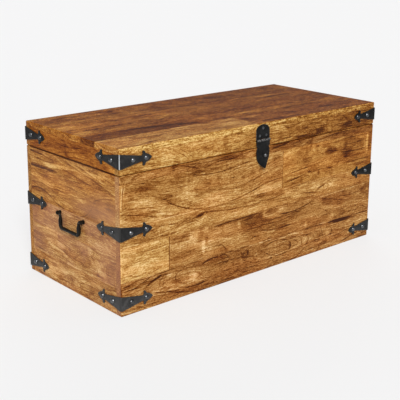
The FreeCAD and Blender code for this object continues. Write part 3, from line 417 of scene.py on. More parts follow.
        blobs=((43, 326.1, 41, 7.7, 0, 0.14), (160, 333.5, 10, 3.0, 0, -0.55), (156, 326.7, 5, 4.1, 0, -0.28), (324, 328.5, 33, 6.5, 0, -0.34), (250, 321.7, 27, 4.1, -0.1, -0.24), (108, 324.6, 36, 5.9, 0, 0.06), (404, 323.2, 21, 4.7, 0.3, 0.14), (514, 333.5, 36, 5.9, 0.1, -0.3), (570, 332.0, 27, 4.1, 0.2, -0.22), (601, 320.8, 10, 2.7, 0.3, 0.34), (706, 327.6, 65, 4.1, 0.05, -0.16), (537, 317.2, 27, 5.9, 0, 0.16), (795, 326.1, 47, 5.9, 0, -0.12), (878, 320.2, 18, 4.7, 0, 0.14),)),
    "left_end_board_1": dict(lines=((141.0, 52.7, 46.0, 298.0, 52.7, 1.0, 0.24), (108.0, 22.7, 17.6, 308.0, 22.7, 1.0, 0.26), (108.0, 7.7, 4.2, 388.0, 7.7, 1.2, 0.3),),
        arcs=((19.3, 201.3, 203.8, 39.3, 221.3, 1.2, 0.3),),
        blobs=((211, 31.0, 17, 14.7, 0, -0.2), (275, 39.3, 47, 13.3, 0, 0.08), (148, 36.0, 40, 13.3, 0, 0.04), (121, 57.7, 30, 4.7, 0.1, -0.12), (241, 12.7, 87, 4.7, 0.05, 0.12), (48, 9.3, 40, 4.7, 0, 0.14), (341, 56.0, 40, 4.7, 0, 0.12), (175, 9.3, 40, 4.0, 0, -0.14),)),
    "left_end_board_2": dict(lines=((175.0, 76.0, 96.2, 325.0, 104.3, 1.2, 0.28), (188.0, 67.7, 81.6, 315.0, 91.0, 1.2, 0.3), (325.0, 112.7, 109.3, 388.0, 112.7, 1.1, 0.3), (321.0, 71.0, 72.7, 388.0, 77.7, 1.1, 0.34), (301.0, 67.7, 69.3, 315.0, 76.0, 1.5, 0.4), (141.0, 129.3, 103.5, 201.0, 86.0, 1.1, 0.24),),
        arcs=((72.7, 88.0, 104.7, 132.7, 141.3, 1.2, 0.26), (79.3, 61.3, 81.2, 134.3, 121.3, 1.2, 0.26),),
        blobs=((291, 129.3, 43, 8.0, 0.0, 0.2), (355, 96.0, 37, 26.7, 0, -0.3), (335, 89.3, 17, 20.0, 0.2, -0.16), (241, 106.0, 57, 5.3, 0.2, 0.18), (221, 86.0, 67, 4.7, 0.15, 0.18), (201, 122.7, 50, 14.7, 0, -0.14), (211, 104.3, 9, 4.7, 0.2, -0.3), (259, 127.3, 6, 4.7, 0, -0.34), (121, 122.7, 13, 20.0, 1.2, 0.26), (95, 106.0, 15, 20.0, 1.4, 0.26), (71, 89.3, 13, 16.7, 1.2, 0.22), (128, 96.0, 10, 16.7, 1.5, -0.12), (91, 77.7, 9, 6.7, 0, -0.26), (38, 96.0, 20, 23.3, 0, -0.22), (88, 129.3, 10, 10.0, 1, 0.2), (298, 77.7, 33, 4.7, 0, 0.14),)),
    "left_end_board_3": dict(lines=((155.0, 198.7, 200.2, 248.0, 204.7, 1.2, 0.44), (281.0, 172.7, 179.6, 315.0, 172.7, 0.9, 0.22), (75.0, 172.7, 176.5, 135.0, 166.0, 0.9, 0.2), (268.0, 149.3, 155.9, 388.0, 152.7, 1.0, 0.22),),
        blobs=((298, 176.0, 20, 8.7, 0, 0.12), (208, 176.0, 40, 13.3, 0, 0.04), (108, 179.3, 50, 20.0, 0, -0.12), (48, 172.7, 37, 16.7, 0, -0.06), (348, 166.0, 47, 13.3, 0, 0.06), (248, 152.7, 20, 6.7, 0, -0.1),)),
    "left_end_board_4": dict(lines=((298.0, 226.0, 236.8, 391.0, 224.3, 1.6, 0.44), (221.0, 206.0, 213.3, 308.0, 232.7, 1.3, 0.36), (98.0, 256.0, 218.4, 161.0, 206.0, 1.4, 0.38), (21.0, 277.7, 270.3, 108.0, 252.7, 1.6, 0.44), (155.0, 224.3, 214.3, 261.0, 226.0, 1.0, 0.26), (135.0, 242.7, 227.7, 268.0, 239.3, 1.0, 0.26), (115.0, 259.3, 246.1, 291.0, 256.0, 1.0, 0.24), (268.0, 239.3, 248.9, 388.0, 246.0, 1.2, 0.28), (281.0, 266.0, 274.3, 388.0, 269.3, 1.0, 0.22), (41.0, 282.7, 272.7, 175.0, 279.3, 1.0, 0.22),),
        blobs=((198, 276.0, 27, 16.7, 0, -0.18), (348, 266.0, 43, 13.3, 0, 0.1), (241, 249.3, 100, 13.3, 0.0, 0.14), (221, 221.0, 60, 8.7, 0.0, 0.2), (348, 231.0, 43, 5.3, -0.05, -0.3), (275, 219.3, 20, 6.7, 0.5, -0.1), (75, 239.3, 63, 20.0, -0.1, -0.24), (121, 219.3, 37, 11.3, -0.3, -0.22), (55, 272.7, 40, 5.3, -0.2, 0.14), (308, 272.7, 20, 6.7, 0, -0.12), (31, 259.3, 20, 20.0, 0, -0.12), (168, 239.3, 40, 6.7, -0.2, 0.1),)),
    "left_end_board_5": dict(lines=((265.0, 318.7, 325.4, 388.0, 328.7, 1.6, 0.48), (265.0, 315.3, 310.9, 358.0, 314.3, 1.2, 0.36), (265.0, 296.0, 291.1, 388.0, 289.3, 2.0, 0.5), (55.0, 296.0, 314.2, 235.0, 329.3, 1.2, 0.3), (18.0, 291.0, 314.0, 195.0, 331.0, 1.2, 0.28), (108.0, 289.3, 299.8, 248.0, 309.3, 1.2, 0.28), (15.0, 309.3, 322.7, 135.0, 331.0, 1.1, 0.24),),
        blobs=((358, 326.7, 40, 3.0, 0.0, -0.34), (308, 318.7, 47, 2.3, 0.05, -0.3), (325, 293.3, 57, 4.7, 0.0, -0.46), (368, 291.0, 30, 3.3, 0, -0.24), (221, 317.7, 30, 11.3, 0.1, -0.16), (255, 327.7, 20, 3.0, 0.3, 0.24), (75, 306.0, 57, 3.3, 0.28, 0.26), (108, 318.7, 57, 2.3, 0.25, 0.24), (35, 296.0, 30, 3.0, 0.25, 0.3), (175, 322.7, 47, 2.3, 0.22, 0.2), (155, 296.0, 47, 4.0, 0.1, -0.14), (335, 309.3, 40, 4.0, 0, 0.08),)),
    "lid_front_rail": dict(lines=((156.0, 370.5, 361.6, 203.0, 345.3, 1.1, 0.34), (173.0, 374.9, 361.6, 221.0, 343.3, 1.0, 0.3), (138.0, 370.5, 362.9, 182.0, 345.3, 0.8, 0.22), (339.0, 345.3, 351.8, 428.0, 373.5, 1.0, 0.26), (351.0, 361.6, 368.6, 425.0, 382.3, 0.8, 0.2), (182.0, 342.4, 340.0, 422.0, 342.4, 1.0, 0.24), (26.0, 355.7, 361.3, 88.0, 367.5, 1.0, 0.2), (481.0, 342.4, 348.5, 623.0, 339.4, 1.4, 0.36), (528.0, 361.6, 352.7, 706.0, 361.6, 1.0, 0.24), (588.0, 370.5, 373.3, 780.0, 364.6, 0.9, 0.22), (623.0, 382.3, 388.6, 810.0, 388.2, 0.9, 0.2), (736.0, 338.0, 343.9, 895.0, 336.5, 1.2, 0.28),),
        blobs=((129, 373.5, 38, 13.3, 0, 0.16), (256, 382.3, 62, 4.1, 0, 0.18), (259, 363.1, 18, 5.3, -0.2, -0.2), (321, 370.5, 9, 16.3, 0, -0.24), (383, 376.4, 36, 14.8, 0.25, 0.12), (49, 346.8, 47, 7.7, 0, -0.06), (165, 346.8, 10, 8.9, 0, -0.24), (508, 379.4, 27, 17.8, 0, 0.12), (537, 377.9, 8, 3.6, -0.3, -0.34), (597, 390.6, 13, 2.7, 0, -0.34), (737, 394.2, 5, 4.1, 0, -0.4), (670, 351.3, 16, 6.5, 0, -0.34), (780, 349.8, 24, 7.7, 0, -0.26), (623, 361.6, 77, 8.9, -0.05, -0.12), (730, 379.4, 59, 8.9, 0.15, 0.1), (810, 370.5, 89, 26.6, 0, -0.08), (789, 361.6, 18, 5.9, -0.6, -0.18),)),
    "lid_left_rail": dict(lines=((308.0, 356.0, 351.6, 388.0, 342.7, 1.2, 0.3), (121.0, 366.0, 356.3, 265.0, 342.7, 1.1, 0.28), (141.0, 376.0, 366.2, 268.0, 369.3, 1.0, 0.28), (88.0, 346.0, 348.0, 208.0, 341.0, 1.0, 0.24),),
        blobs=((71, 377.7, 23, 8.0, 0, 0.26), (25, 344.3, 17, 4.7, 0, 0.16), (175, 372.7, 57, 8.7, 0, -0.1), (248, 362.7, 30, 13.3, 0, -0.1), (281, 382.7, 30, 6.7, 0, 0.1), (201, 349.3, 73, 4.7, 0, 0.1), (115, 362.7, 30, 10.0, 0, -0.08), (298, 356.0, 20, 8.0, -0.4, -0.16),)),
    "lid_top_board_1_left": dict(lines=((26.0, 53.0, 58.9, 321.0, 53.0, 1.6, 0.3), (268.0, 29.3, 19.5, 404.0, 23.4, 1.5, 0.3), (49.0, 85.5, 76.7, 274.0, 83.7, 1.4, 0.24),),
        blobs=((286, 64.8, 27, 9.5, 0, -0.22), (168, 41.1, 148, 7.1, 0, -0.1), (321, 29.3, 71, 8.3, 0, -0.12), (357, 82.6, 65, 8.3, -0.25, -0.2), (61, 76.6, 47, 8.3, 0, 0.12), (369, 47.1, 36, 14.2, 0, 0.12), (102, 18.7, 8, 4.7, 0, -0.34),)),
    "lid_top_board_1_right": dict(lines=((440.0, 17.5, 14.5, 730.0, 20.4, 1.8, 0.34), (452.0, 70.7, 65.0, 736.0, 76.6, 1.4, 0.26), (670.0, 41.1, 53.6, 878.0, 47.1, 1.4, 0.3),),
        blobs=((452, 58.9, 20, 14.2, -0.5, -0.34), (523, 17.5, 83, 5.9, 0, -0.24), (611, 53.0, 18, 14.2, 0, -0.24), (582, 23.4, 36, 4.7, 0, 0.24), (753, 53.0, 30, 11.8, -0.2, -0.3), (493, 76.6, 36, 7.1, 0, 0.16), (670, 70.7, 65, 8.3, 0, 0.1), (836, 70.7, 47, 5.9, 0, -0.28), (523, 53.0, 41, 11.8, 0, 0.1),)),
    "lid_top_board_2": dict(lines=((126.0, 144.7, 139.4, 321.0, 106.2, 3.0, 0.4), (321.0, 124.0, 118.1, 440.0, 100.3, 1.8, 0.28), (452.0, 112.1, 106.2, 866.0, 112.1, 1.6, 0.24),),
        blobs=((185, 141.7, 65, 8.3, -0.05, -0.26), (256, 121.0, 65, 8.3, -0.25, -0.24), (14, 132.9, 20, 9.5, 0, 0.16), (61, 106.2, 65, 8.3, 0, 0.06), (404, 129.9, 77, 20.1, -0.1, 0.2), (428, 112.1, 18, 10.7, 0, -0.14), (582, 124.0, 148, 20.1, 0, 0.14), (670, 109.2, 53, 5.9, 0, -0.2), (818, 124.0, 71, 17.8, 0, 0.06), (807, 100.3, 41, 5.3, 0, 0.16),)),
    "lid_top_board_3": dict(lines=((26.0, 200.9, 207.0, 298.0, 195.0, 1.6, 0.28), (321.0, 171.3, 165.4, 629.0, 171.3, 1.8, 0.28), (523.0, 206.8, 200.9, 759.0, 206.8, 1.4, 0.22),),
        blobs=((26, 183.1, 36, 17.8, 0, 0.3), (215, 195.0, 36, 8.3, 0, 0.08), (239, 171.3, 53, 5.3, -0.05, -0.2), (108, 203.9, 77, 8.3, 0, -0.12), (357, 189.1, 71, 17.8, 0, -0.06), (493, 171.3, 95, 8.3, 0, -0.12), (700, 195.0, 118, 17.8, 0, -0.06), (138, 171.3, 71, 8.3, 0, 0.1),)),
    "lid_top_board_4": dict(lines=((126.0, 260.1, 265.8, 404.0, 254.2, 1.6, 0.26), (653.0, 253.0, 250.6, 848.0, 254.2, 2.0, 0.34), (26.0, 230.5, 230.6, 321.0, 236.4, 1.3, 0.2),),
        blobs=((61, 242.3, 71, 14.2, 0, 0.12), (185, 260.1, 77, 8.3, 0, -0.14), (298, 230.5, 71, 8.3, 0, 0.1), (404, 260.1, 71, 14.2, 0, -0.1), (759, 253.0, 77, 4.7, 0, -0.26), (730, 271.9, 71, 5.3, 0, 0.16), (523, 242.3, 77, 14.2, 0, -0.04), (26, 266.0, 36, 14.2, 0, 0.16),)),
    "lid_top_board_5": dict(lines=((61.0, 319.2, 313.3, 357.0, 319.2, 1.6, 0.24), (404.0, 301.5, 295.3, 730.0, 295.6, 1.6, 0.24), (49.0, 372.5, 366.6, 298.0, 372.5, 1.6, 0.22), (611.0, 337.0, 319.2, 848.0, 301.5, 1.6, 0.24),),
        blobs=((224, 365.4, 24, 9.5, 0, -0.3), (369, 320.4, 15, 7.1, 0, -0.34), (428, 342.9, 77, 11.8, 0, -0.12), (576, 345.9, 47, 17.8, 0, -0.34), (73, 360.7, 20, 8.3, 0, -0.2), (197, 331.1, 65, 8.3, 0, -0.14), (49, 307.4, 71, 11.8, 0, 0.16), (239, 307.4, 77, 8.3, 0, 0.12), (818, 354.7, 36, 14.2, -0.3, -0.22), (321, 372.5, 53, 11.8, 0, 0.08), (688, 301.5, 77, 8.3, 0, -0.1), (138, 378.4, 53, 8.3, 0, 0.06),)),
}

# painted shade: the wood darkened on both sides of the gap between lid and body
SEAM_SHADE_FRONT = (("c", 337.2, 1.3, -0.22),)
SEAM_SHADE_LEFT = (("c", 337.2, 3.0, -0.60),)
boards = {
    "front_board_1": dict(FRONT, seed=1, tone=0.52, pith=(46, 22), wander=5, run=500,
                          arches=((515, 120, -20), (180, 70, -16), (330, 40, -8)),
                          bands=0.30, late=0.24, broad=0.14, blotch=0.10, dash=0.54,
                          edges=(("c", 82.0, 0.8, -0.14),),
                          corner=((12, 80, -0.25),)),
    "front_board_2_left": dict(FRONT, seed=2, tone=0.745, pith=(150, 90), ribbon=0.03,
                               blotch=0.12, bands=0.14, broad=0.10,
                               edges=(("g", 143.0, 1.6, -0.40), ("c", 82.0, 0.8, -0.10)),
                               corner=((84, 160, 0.10),)),
    "front_board_2_right": dict(FRONT, seed=3, tone=0.455, pith=(150, 60), drift=-0.01, blotch=0.13, dash=0.54,
                                wide=((215, 125, 75, 60, 0, .20), (330, 110, 60, 50, 0, .14),
                                      (500, 118, 90, 60, 0, .06), (780, 120, 120, 60, 0, .05)),
                                edges=(("g", 143.0, 1.6, -0.36), ("c", 165.0, 0.8, -0.12))),
    "front_board_3": dict(FRONT, seed=4, tone=0.57, pith=(206, 45), blotch=0.20,
                          drift=-0.05, edges=(("c", 165.0, 0.8, -0.12),),
                          corner=((166, 182, 0.10),)),
    "front_board_4_left": dict(FRONT, seed=5, tone=0.61, pith=(190, 60), ribbon=0.05,
                               bends=((300, 200, -24),),
                               edges=(("g", 527.0, 1.2, -0.30), ("c", 317.0, 1.0, -0.18)),
                               corner=((222, 316, 0.06),),
                               scores=((256, 2.4, 4.2, 315, 6.6, 1.0, -0.50), (284, 8.0, 10.6, 315, 14.5, 0.8, -0.42),
                                       (270, 5.6, 7.4, 314, 10.5, 1.6, 0.22))),
    "front_board_4_right": dict(FRONT, seed=6, tone=0.60, red=0.24, pith=(300, 80),
                                ribbon=0.06, drift=-0.06,
                                edges=(("g", 527.0, 1.2, -0.26), ("c", 317.0, 0.9, -0.14))),
    "front_board_5": dict(FRONT, seed=7, tone=0.455, pith=(330, 90), red=0.0,
                          drift=-0.08, edges=SEAM_SHADE_FRONT, corner=((318, 334, 0.14),),
                          wide=((560, 320, 60, 4, .04, -.18),)),
    "lid_front_rail": dict(FRONT, seed=8, tone=0.50, pith=(330, 80), drift=-0.11, speck=0.66, dash=0.55, red=-0.10,
                           # painted shade: the first wide patch darkens the wood seen through the window above the
                           # hasp's knuckle, and the last darkens the rail along the seam, a dark streak with painted
                           # shade of the seam
                           wide=((448, 360.3, 11, 3.0, 0, -1.6), (240, 365, 150, 34, 0, .16), (520, 378, 80, 16, 0, .10),
                                 (720, 360, 150, 40, 0, -.12), (380, 350, 80, 12, 0, -.10),
                                 (600, 342, 60, 4, .03, -.34)),
                           edges=SEAM_SHADE_FRONT, corner=((341, 354, -0.10),)),
    "left_end_board_1": dict(LEFT, seed=9, tone=0.59, red=0.16, sheen_haze=0.35, pith=(20, 60), blotch=0.34,
                             wide=((250, 40, 75, 7, -.10, .34), (120, 44, 60, 5, -.06, .26), (300, 22, 60, 6, -.08, .22))),
    "left_end_board_2": dict(LEFT, seed=10, tone=0.62, red=0.12, sheen_haze=0.75, pith=(100, 25), blotch=0.38, bands=0.30, late=0.24,
                             wide=((285, 100, 60, 9, -.10, .26), (80, 82, 60, 6, -.05, .20))),
    "left_end_board_3": dict(LEFT, seed=11, tone=0.595, red=0.12, sheen_haze=0.80, pith=(150, 40), blotch=0.42, bands=0.34, late=0.26),
    "left_end_board_4": dict(dict(LEFT, dash=0.50, speck=0.6), seed=12,
                             sheen_patches=((50, 236, 90, 34, 1.0), (120, 228, 70, 16, 0.6)),
                             tone=0.58, red=0.50, sheen_haze=0.34, pith=(190, 30), blotch=0.30, bands=0.30, late=0.24),
    "left_end_board_5": dict(LEFT, seed=13, tone=0.540, red=0.38, sheen_haze=0.25, pith=(330, 90), blotch=0.32, slope=-0.06,
                             wide=((120, 318, 70, 5, -.07, .34), (250, 309, 70, 5, -.09, .36), (330, 322, 40, 6, -.05, .22)),
                             edges=SEAM_SHADE_LEFT),
    "lid_left_rail": dict(dict(LEFT, dash=0.45, speck=0.5), seed=14, tone=0.50, red=1.0, pith=(350, 90),
                          edges=SEAM_SHADE_LEFT),
    "right_end_board_1": dict(RIGHT, seed=15, tone=0.60, red=0.10, pith=(50, 24), blotch=0.30,
                              bands=0.30, late=0.26, arches=((240, 90, -14),),
                              wide=((130, 60, 90, 14, -.05, .22), (300, 28, 60, 10, 0, -.20)),
                              edges=(("c", 112.0, 0.9, -0.16),)),
    "right_end_board_2": dict(RIGHT, seed=16, tone=0.50, red=0.34, pith=(170, 30), blotch=0.26,
                              bands=0.34, late=0.30, arches=((140, 80, -18),), knots=((286, 182, 6.0),),
                              wide=((90, 150, 60, 12, .08, -.24), (250, 205, 90, 8, 0, .20)),
                              edges=(("c", 224.0, 0.9, -0.16),)),
    "right_end_board_3": dict(RIGHT, seed=17, tone=0.58, red=0.12, pith=(280, 70), blotch=0.30,
                              slope=0.04, wide=((110, 300, 80, 9, .04, .26), (300, 262, 70, 12, 0, -.22)),
                              edges=SEAM_SHADE_FRONT),
    "lid_right_rail": dict(RIGHT, seed=18, tone=0.50, red=0.2, pith=(350, 90),
                           edges=SEAM_SHADE_FRONT),
    "back_board_1": dict(BACK, seed=19, tone=0.57, red=0.22, pith=(80, 22), blotch=0.26,
                         bands=0.38, late=0.32, arches=((300, 120, -14), (650, 140, -16)),
                         knots=((560, 96, 8.0),), edges=(("c", 170.0, 0.9, -0.18),),
                         wide=((200, 120, 120, 22, .05, .22), (420, 40, 90, 16, 0, -.22),
                               (700, 130, 130, 16, -.04, -.20), (820, 50, 80, 20, 0, .18))),
    "back_board_2": dict(BACK, seed=20, tone=0.54, red=0.08, pith=(260, 30), blotch=0.28,
                         bands=0.36, late=0.32, arches=((480, 160, -18),), edges=SEAM_SHADE_FRONT,
                         knots=((250, 238, 6.0),),
                         wide=((150, 290, 110, 18, 0, -.24), (380, 215, 130, 14, .04, .24),
                               (620, 300, 120, 16, -.03, .20), (760, 220, 110, 20, 0, -.22))),
    "lid_back_rail": dict(BACK, seed=21, tone=0.53, red=0.20, pith=(350, 90), blotch=0.28, edges=SEAM_SHADE_FRONT,
                          wide=((250, 360, 120, 9, 0, .20), (600, 368, 140, 8, 0, -.20))),
    "lid_top_board_1_left": dict(TOP, seed=22, tone=0.58, red=0.40, front=(0.13, -0.50), pith=(40, 60), blotch=0.16,
                                 edges=(("g", 431.0, 1.5, -0.2),)),
    "lid_top_board_1_right": dict(TOP, seed=23, tone=0.33, red=0.75, pith=(50, 70),
                                  front=(0.26, -0.80)),
    "lid_top_board_2": dict(TOP, seed=24, tone=0.27, red=0.75, pith=(120, 60),
                            drift=0.06),
    "lid_top_board_3": dict(TOP, seed=25, tone=0.38, red=0.72, pith=(180, 60),
                            drift=-0.08),
    "lid_top_board_4": dict(TOP, seed=26, tone=0.38, red=0.72, pith=(250, 60),
                            drift=-0.08),
    "lid_top_board_5": dict(TOP, seed=27, tone=0.335, red=0.72, pith=(340, 60),
                            drift=-0.05),
    "bottom_panel": dict(TOP, seed=28, tone=0.58, pith=(200, 60)),
    "bottom_cleats": dict(FRONT, seed=29, tone=0.55, pith=(20, 60)),
}


# one tint per board, and one tone and milkiness for its end grain
BLUE = {"front_board_1": 1.18, "front_board_2_right": 1.13, "front_board_3": 1.06,
        "front_board_4_left": 1.07, "front_board_5": 1.14, "front_board_4_right": 0.93,
        "lid_front_rail": 0.96, "left_end_board_4": 0.82, "left_end_board_5": 0.86,
        "lid_left_rail": 0.72, "lid_top_board_1_left": 0.88, "lid_top_board_1_right": 0.88,
        "lid_top_board_2": 0.70, "lid_top_board_3": 0.70, "lid_top_board_4": 0.70,
        "lid_top_board_5": 0.70}
ENDS = {"front_board_1": (-0.06, 0.4), "front_board_2_left": (-0.36, 0.55),
        "front_board_3": (-0.12, 0.5), "front_board_4_left": (0.08, 0.35),
        "front_board_5": (0.08, 0.35)}


def dress(o, material):
    o.data.materials.clear()
    o.data.materials.append(material)


for name, spec in boards.items():
    figure = dict(FIGURE.get(name, {}))
    figure["blobs"] = figure.get("blobs", ()) + spec.pop("wide", ())
    figure["arcs"] = figure.get("arcs", ()) + spec.pop("scores", ())
    dress(nodes[name], wood("wood_" + name, end=ENDS.get(name),
                           blue=BLUE.get(name, 1.0),
                           **spec, **figure))


# ---------------------------------------------------------------------- metal
def iron(name, base=0.0062, rough=0.46, metal=0.0, spec=0.22, ends=1.0, wear=0.0,
         bright=None, warm=0.02):
    """Black painted wrought iron: hammer marks, grit and thin worn places.

    ends paints light on the leaves on the chest's two ends: above 1
    a painted sheen that lightens them, below 1 painted shade that darkens them.
    wear is how much bare metal shows through in patches, bright is the colour
    of that metal, and warm is how brown the black is.
    """
    m = bpy.data.materials.new(name)
    m.use_nodes = True
    t = Tree(m.node_tree)
    p = t.coords()
    x = t.split(p)[0]
    dents = t.noise(p, scale=150.0, detail=1.5, distortion=0.4)
    grit = t.noise(p, scale=1400.0, detail=3.0, rough=0.7)
    cloud = t.noise(p, scale=60.0, detail=3.0, rough=0.6)
    lo = (base * (1.0 + warm), base, base * (1.0 - warm * 1.2))
    hi = tuple(c * 2.1 + 0.0008 for c in lo)
    colour = t.mix(t.step(cloud, 0.38, 0.68), lo, hi)
    # painted sheen and shade: the leaves on the chest's two ends are made lighter for a number above 1 and darker for
    # one below 1
    if ends != 1.0:
        leaf = t.step(t.math("ABSOLUTE", x), 0.4500, 0.4512)
        colour = t.mix(leaf, colour, tuple(c * ends for c in hi))
    colour = t.mix(t.step(grit, 0.62, 0.80, 0.0, 0.55), colour,
                   (base * 3 + 0.010, base * 2.4 + 0.008, base * 2 + 0.007))
    rub = None
    if wear:
        mask = t.noise(p, scale=210.0, detail=3.0, rough=0.7)
        rub = t.step(mask, 0.62 - wear * 0.3, 0.74 - wear * 0.3)
        colour = t.mix(rub, colour, bright or (0.11, 0.112, 0.115))
    t.surface(Base_Color=colour, Metallic=metal, Specular_IOR_Level=spec,
              Roughness=t.math("ADD", (dents - 0.5) * 0.20 + (grit - 0.5) * 0.22,
                               rough),
              Normal=t.bump(grit, 0.00012, 0.5, t.bump(dents, 0.0010, 0.55)))
    return m


def steel(name):
    m = bpy.data.materials.new(name)
    m.use_nodes = True
    t = Tree(m.node_tree)
    p = t.coords()
    grit = t.noise(p, scale=700.0, detail=3.0)
    colour = t.ramp(grit, [(0.3, (0.24, 0.23, 0.21)), (0.7, (0.42, 0.41, 0.38))])
    t.surface(Base_Color=colour, Metallic=1.0,
              Roughness=t.step(grit, 0.3, 0.7, 0.28, 0.42),
              Normal=t.bump(grit, 0.0001, 0.3))
    return m


def forged(name, body, width, *materials, angle=32.0, pick=None):
    """A copy of a plate's mesh with every arris rounded over, in its place."""
    bm = bmesh.new()
    bm.from_mesh(nodes[name].data)
    bm.transform(nodes[name].matrix_world)
    bmesh.ops.remove_doubles(bm, verts=bm.verts, dist=2e-6)
    bmesh.ops.dissolve_limit(bm, angle_limit=math.radians(0.6), verts=bm.verts,
                             edges=bm.edges, use_dissolve_boundaries=False)
    sharp = [e for e in bm.edges if len(e.link_faces) == 2 and
             e.calc_face_angle(0.0) > math.radians(angle)]
    for f in bm.faces:
        f.material_index = 0
    bmesh.ops.bevel(bm, geom=sharp, offset=width, offset_type="OFFSET", segments=2,
                    profile=0.5, affect="EDGES", clamp_overlap=False, material=1)
    if pick:
        for f in bm.faces:
            k = pick(f)
            if k is not None:
                f.material_index = k
    for f in bm.faces:
        f.smooth = True
    for e in bm.edges:
        if len(e.link_faces) == 2 and e.calc_face_angle(0.0) > math.radians(28):
            e.smooth = False
    me = bpy.data.meshes.new(name + "_forged")
    bm.to_mesh(me)
    bm.free()
    o = bpy.data.objects.new(name + "_forged", me)
    scene.collection.objects.link(o)
    for mat in materials:
        me.materials.append(mat)
    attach(o, body)
    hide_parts(name)
    return o


# base tone, painted sheen and shade on the leaf on the chest's end, and gloss
# of each row of straps; straps not on the front left corner are set darker
STRAPS = {
    "lid": (0.0112, 0.42, 0.15), "middle": (0.0058, 1.75, 0.22), "bottom": (0.0215, 0.68, 0.22),
    "lid_far": (0.0030, 0.80, 0.10), "middle_far": (0.0030, 2.20, 0.10),
    "bottom_far": (0.0062, 1.30, 0.21),
}
iron_flat = {k: iron("black_iron_%s_straps" % k, base=b, ends=e, spec=s)
             for k, (b, e, s) in STRAPS.items()}
iron_edge = iron("black_iron_arris", base=0.016, rough=0.38, spec=0.40, wear=0.25)
# painted highlight with wear: the bend's bare metal is made bright to stand in for the highlight along it
iron_bend_wear_highlight = iron("worn_iron_bend", base=0.10, rough=0.30, metal=1.0, spec=0.5, wear=1.2,
                 bright=(0.62, 0.63, 0.64), warm=0.0)
iron_nail = iron("iron_nail_head", base=0.074, rough=0.33, metal=1.0, spec=0.5,
                 warm=-0.03)
iron_rod = iron("black_iron_rod", base=0.0040, rough=0.40, spec=0.15, warm=0.35)
iron_hasp = iron("black_iron_hasp", base=0.0042, rough=0.48, spec=0.10)
iron_knuckle = iron("worn_iron_knuckle", base=0.010, rough=0.40, spec=0.35, wear=0.55,
                    bright=(0.16, 0.15, 0.14))
iron_hinge = iron("black_hinge_steel", base=0.020, rough=0.38, metal=0.0, spec=0.45)
steel_plain = steel("screw_steel")


def bend(f):
    """The rounded bend of the strap on the lid's front left corner, which gets bare worn metal with a painted
    highlight.
    """
    n, c = f.normal, f.calc_center_median()
    if n.x < -0.50 and n.y < -0.62 and abs(n.z) < 0.3 and c.x < -0.4502 and c.y < -0.2002:
        return 2
    return None


def knuckle(f):
    """The rolled barrel of the hasp."""
    c = f.calc_center_median()
    return 2 if abs(c.z - 0.356) < 0.0030 and c.y < -0.2022 else None


for name, o in nodes.items():
    if name in boards:
        continue
    if "nails" in name or name in ("hasp_knob", "hasp_screws"):
        dress(o, iron_nail)
    elif "screws" in name or name == "handle_nuts":
        dress(o, steel_plain)
    elif "hinge" in name:
        dress(o, iron_hinge)
    elif "strap" in name:
        # the worn bend also carries a painted highlight
        worn = name == "lid_corner_strap_front_left"
        row = name.split("_")[0] + ("" if name.endswith("front_left") else "_far")
        forged(name, "lid" if name.startswith("lid") else "chest_body", 0.00035,
               iron_flat[row], iron_edge, iron_bend_wear_highlight, pick=bend if worn else None)
    elif name in ("hasp_plate", "hasp_flap", "hasp_catch"):
        forged(name, {"hasp_plate": "lid", "hasp_flap": "flap"}.get(name, "chest_body"),
               0.00030, iron_hasp, iron_edge, iron_knuckle, pick=knuckle)
    else:
        dress(o, iron_rod)


# ----------------------------------------------------------- floor and light
bpy.ops.mesh.primitive_plane_add(size=40.0, location=(0, 0, 0))
floor = bpy.context.object
floor.name = "studio_floor"
fm = bpy.data.materials.new("studio_paper")
fm.use_nodes = True
ft = Tree(fm.node_tree)
paper = ft.surface(Base_Color=ft.ramp(ft.noise(ft.coords(), scale=3.0),
                                      [(0.0, (0.845, 0.845, 0.845)),
                                       (1.0, (0.855, 0.855, 0.855))]),
                   Roughness=0.9, Specular_IOR_Level=0.0)
lit = ft.node("ShaderNodeEmission")          # lit from below, like a light table
lit.inputs[0].default_value = (0.895, 0.895, 0.895, 1.0)
sheet = ft.node("ShaderNodeMixShader")
sheet.inputs[0].default_value = 0.6
ft.nt.links.new(paper.outputs[0], sheet.inputs[1])
ft.nt.links.new(lit.outputs[0], sheet.inputs[2])
ft.nt.links.new(sheet.outputs[0], next(n for n in ft.nt.nodes if n.type == "OUTPUT_MATERIAL").inputs[0])
dress(floor, fm)

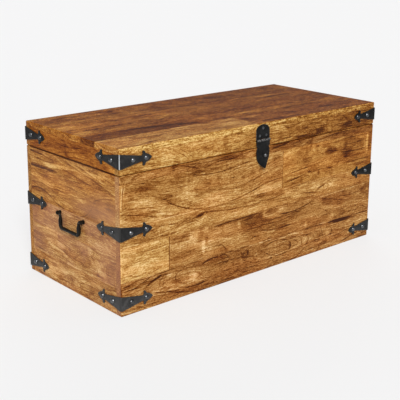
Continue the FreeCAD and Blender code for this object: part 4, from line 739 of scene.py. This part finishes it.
world = bpy.data.worlds.new("studio")
scene.world = world
world.use_nodes = True
wn = world.node_tree
wn.nodes.clear()
path = wn.nodes.new("ShaderNodeLightPath")
pale = wn.nodes.new("ShaderNodeBackground")
pale.inputs[0].default_value = (0.92, 0.92, 0.92, 1)
dim = wn.nodes.new("ShaderNodeBackground")
dim.inputs[0].default_value = (0.40, 0.40, 0.41, 1)
both = wn.nodes.new("ShaderNodeMixShader")
wo = wn.nodes.new("ShaderNodeOutputWorld")
wn.links.new(path.outputs["Is Camera Ray"], both.inputs[0])
wn.links.new(dim.outputs[0], both.inputs[1])
wn.links.new(pale.outputs[0], both.inputs[2])
wn.links.new(both.outputs[0], wo.inputs[0])


def sun(name, toward, strength, angle):
    data = bpy.data.lights.new(name, "SUN")
    data.energy = strength
    data.angle = math.radians(angle)
    o = bpy.data.objects.new(name, data)
    o.rotation_mode = "QUATERNION"
    o.rotation_quaternion = Vector(toward).to_track_quat("Z", "Y")
    scene.collection.objects.link(o)
    return o


sun("key", (-0.55, -0.78, 0.75), 3.35, 22)
sun("fill", (0.60, 0.75, 0.22), 1.0, 45).visible_glossy = False

# --------------------------------------------------------------------- camera
cam_data = bpy.data.cameras.new("camera")
cam = bpy.data.objects.new("camera", cam_data)
scene.collection.objects.link(cam)
scene.camera = cam
cam_data.sensor_width = 36.0
cam_data.lens = 874.6 / 400.0 * 36.0
cam_data.shift_y = -0.10
cam_data.clip_start, cam_data.clip_end = 0.05, 80.0
az, el, roll = math.radians(41.37), math.radians(14.44), math.radians(-0.50)
fwd = Vector((math.sin(az) * math.cos(el), math.cos(az) * math.cos(el), -math.sin(el)))
right = Vector((math.cos(az), -math.sin(az), 0.0))
down = fwd.cross(right)
r2 = right * math.cos(roll) + down * math.sin(roll)
d2 = down * math.cos(roll) - right * math.sin(roll)
rot = Matrix((r2, -d2, -fwd)).transposed()
cam.matrix_world = Matrix.Translation((-1.5497, -1.7183, 0.8584)) @ rot.to_4x4()

scene.view_settings.view_transform = "Standard"
scene.view_settings.look = "None"
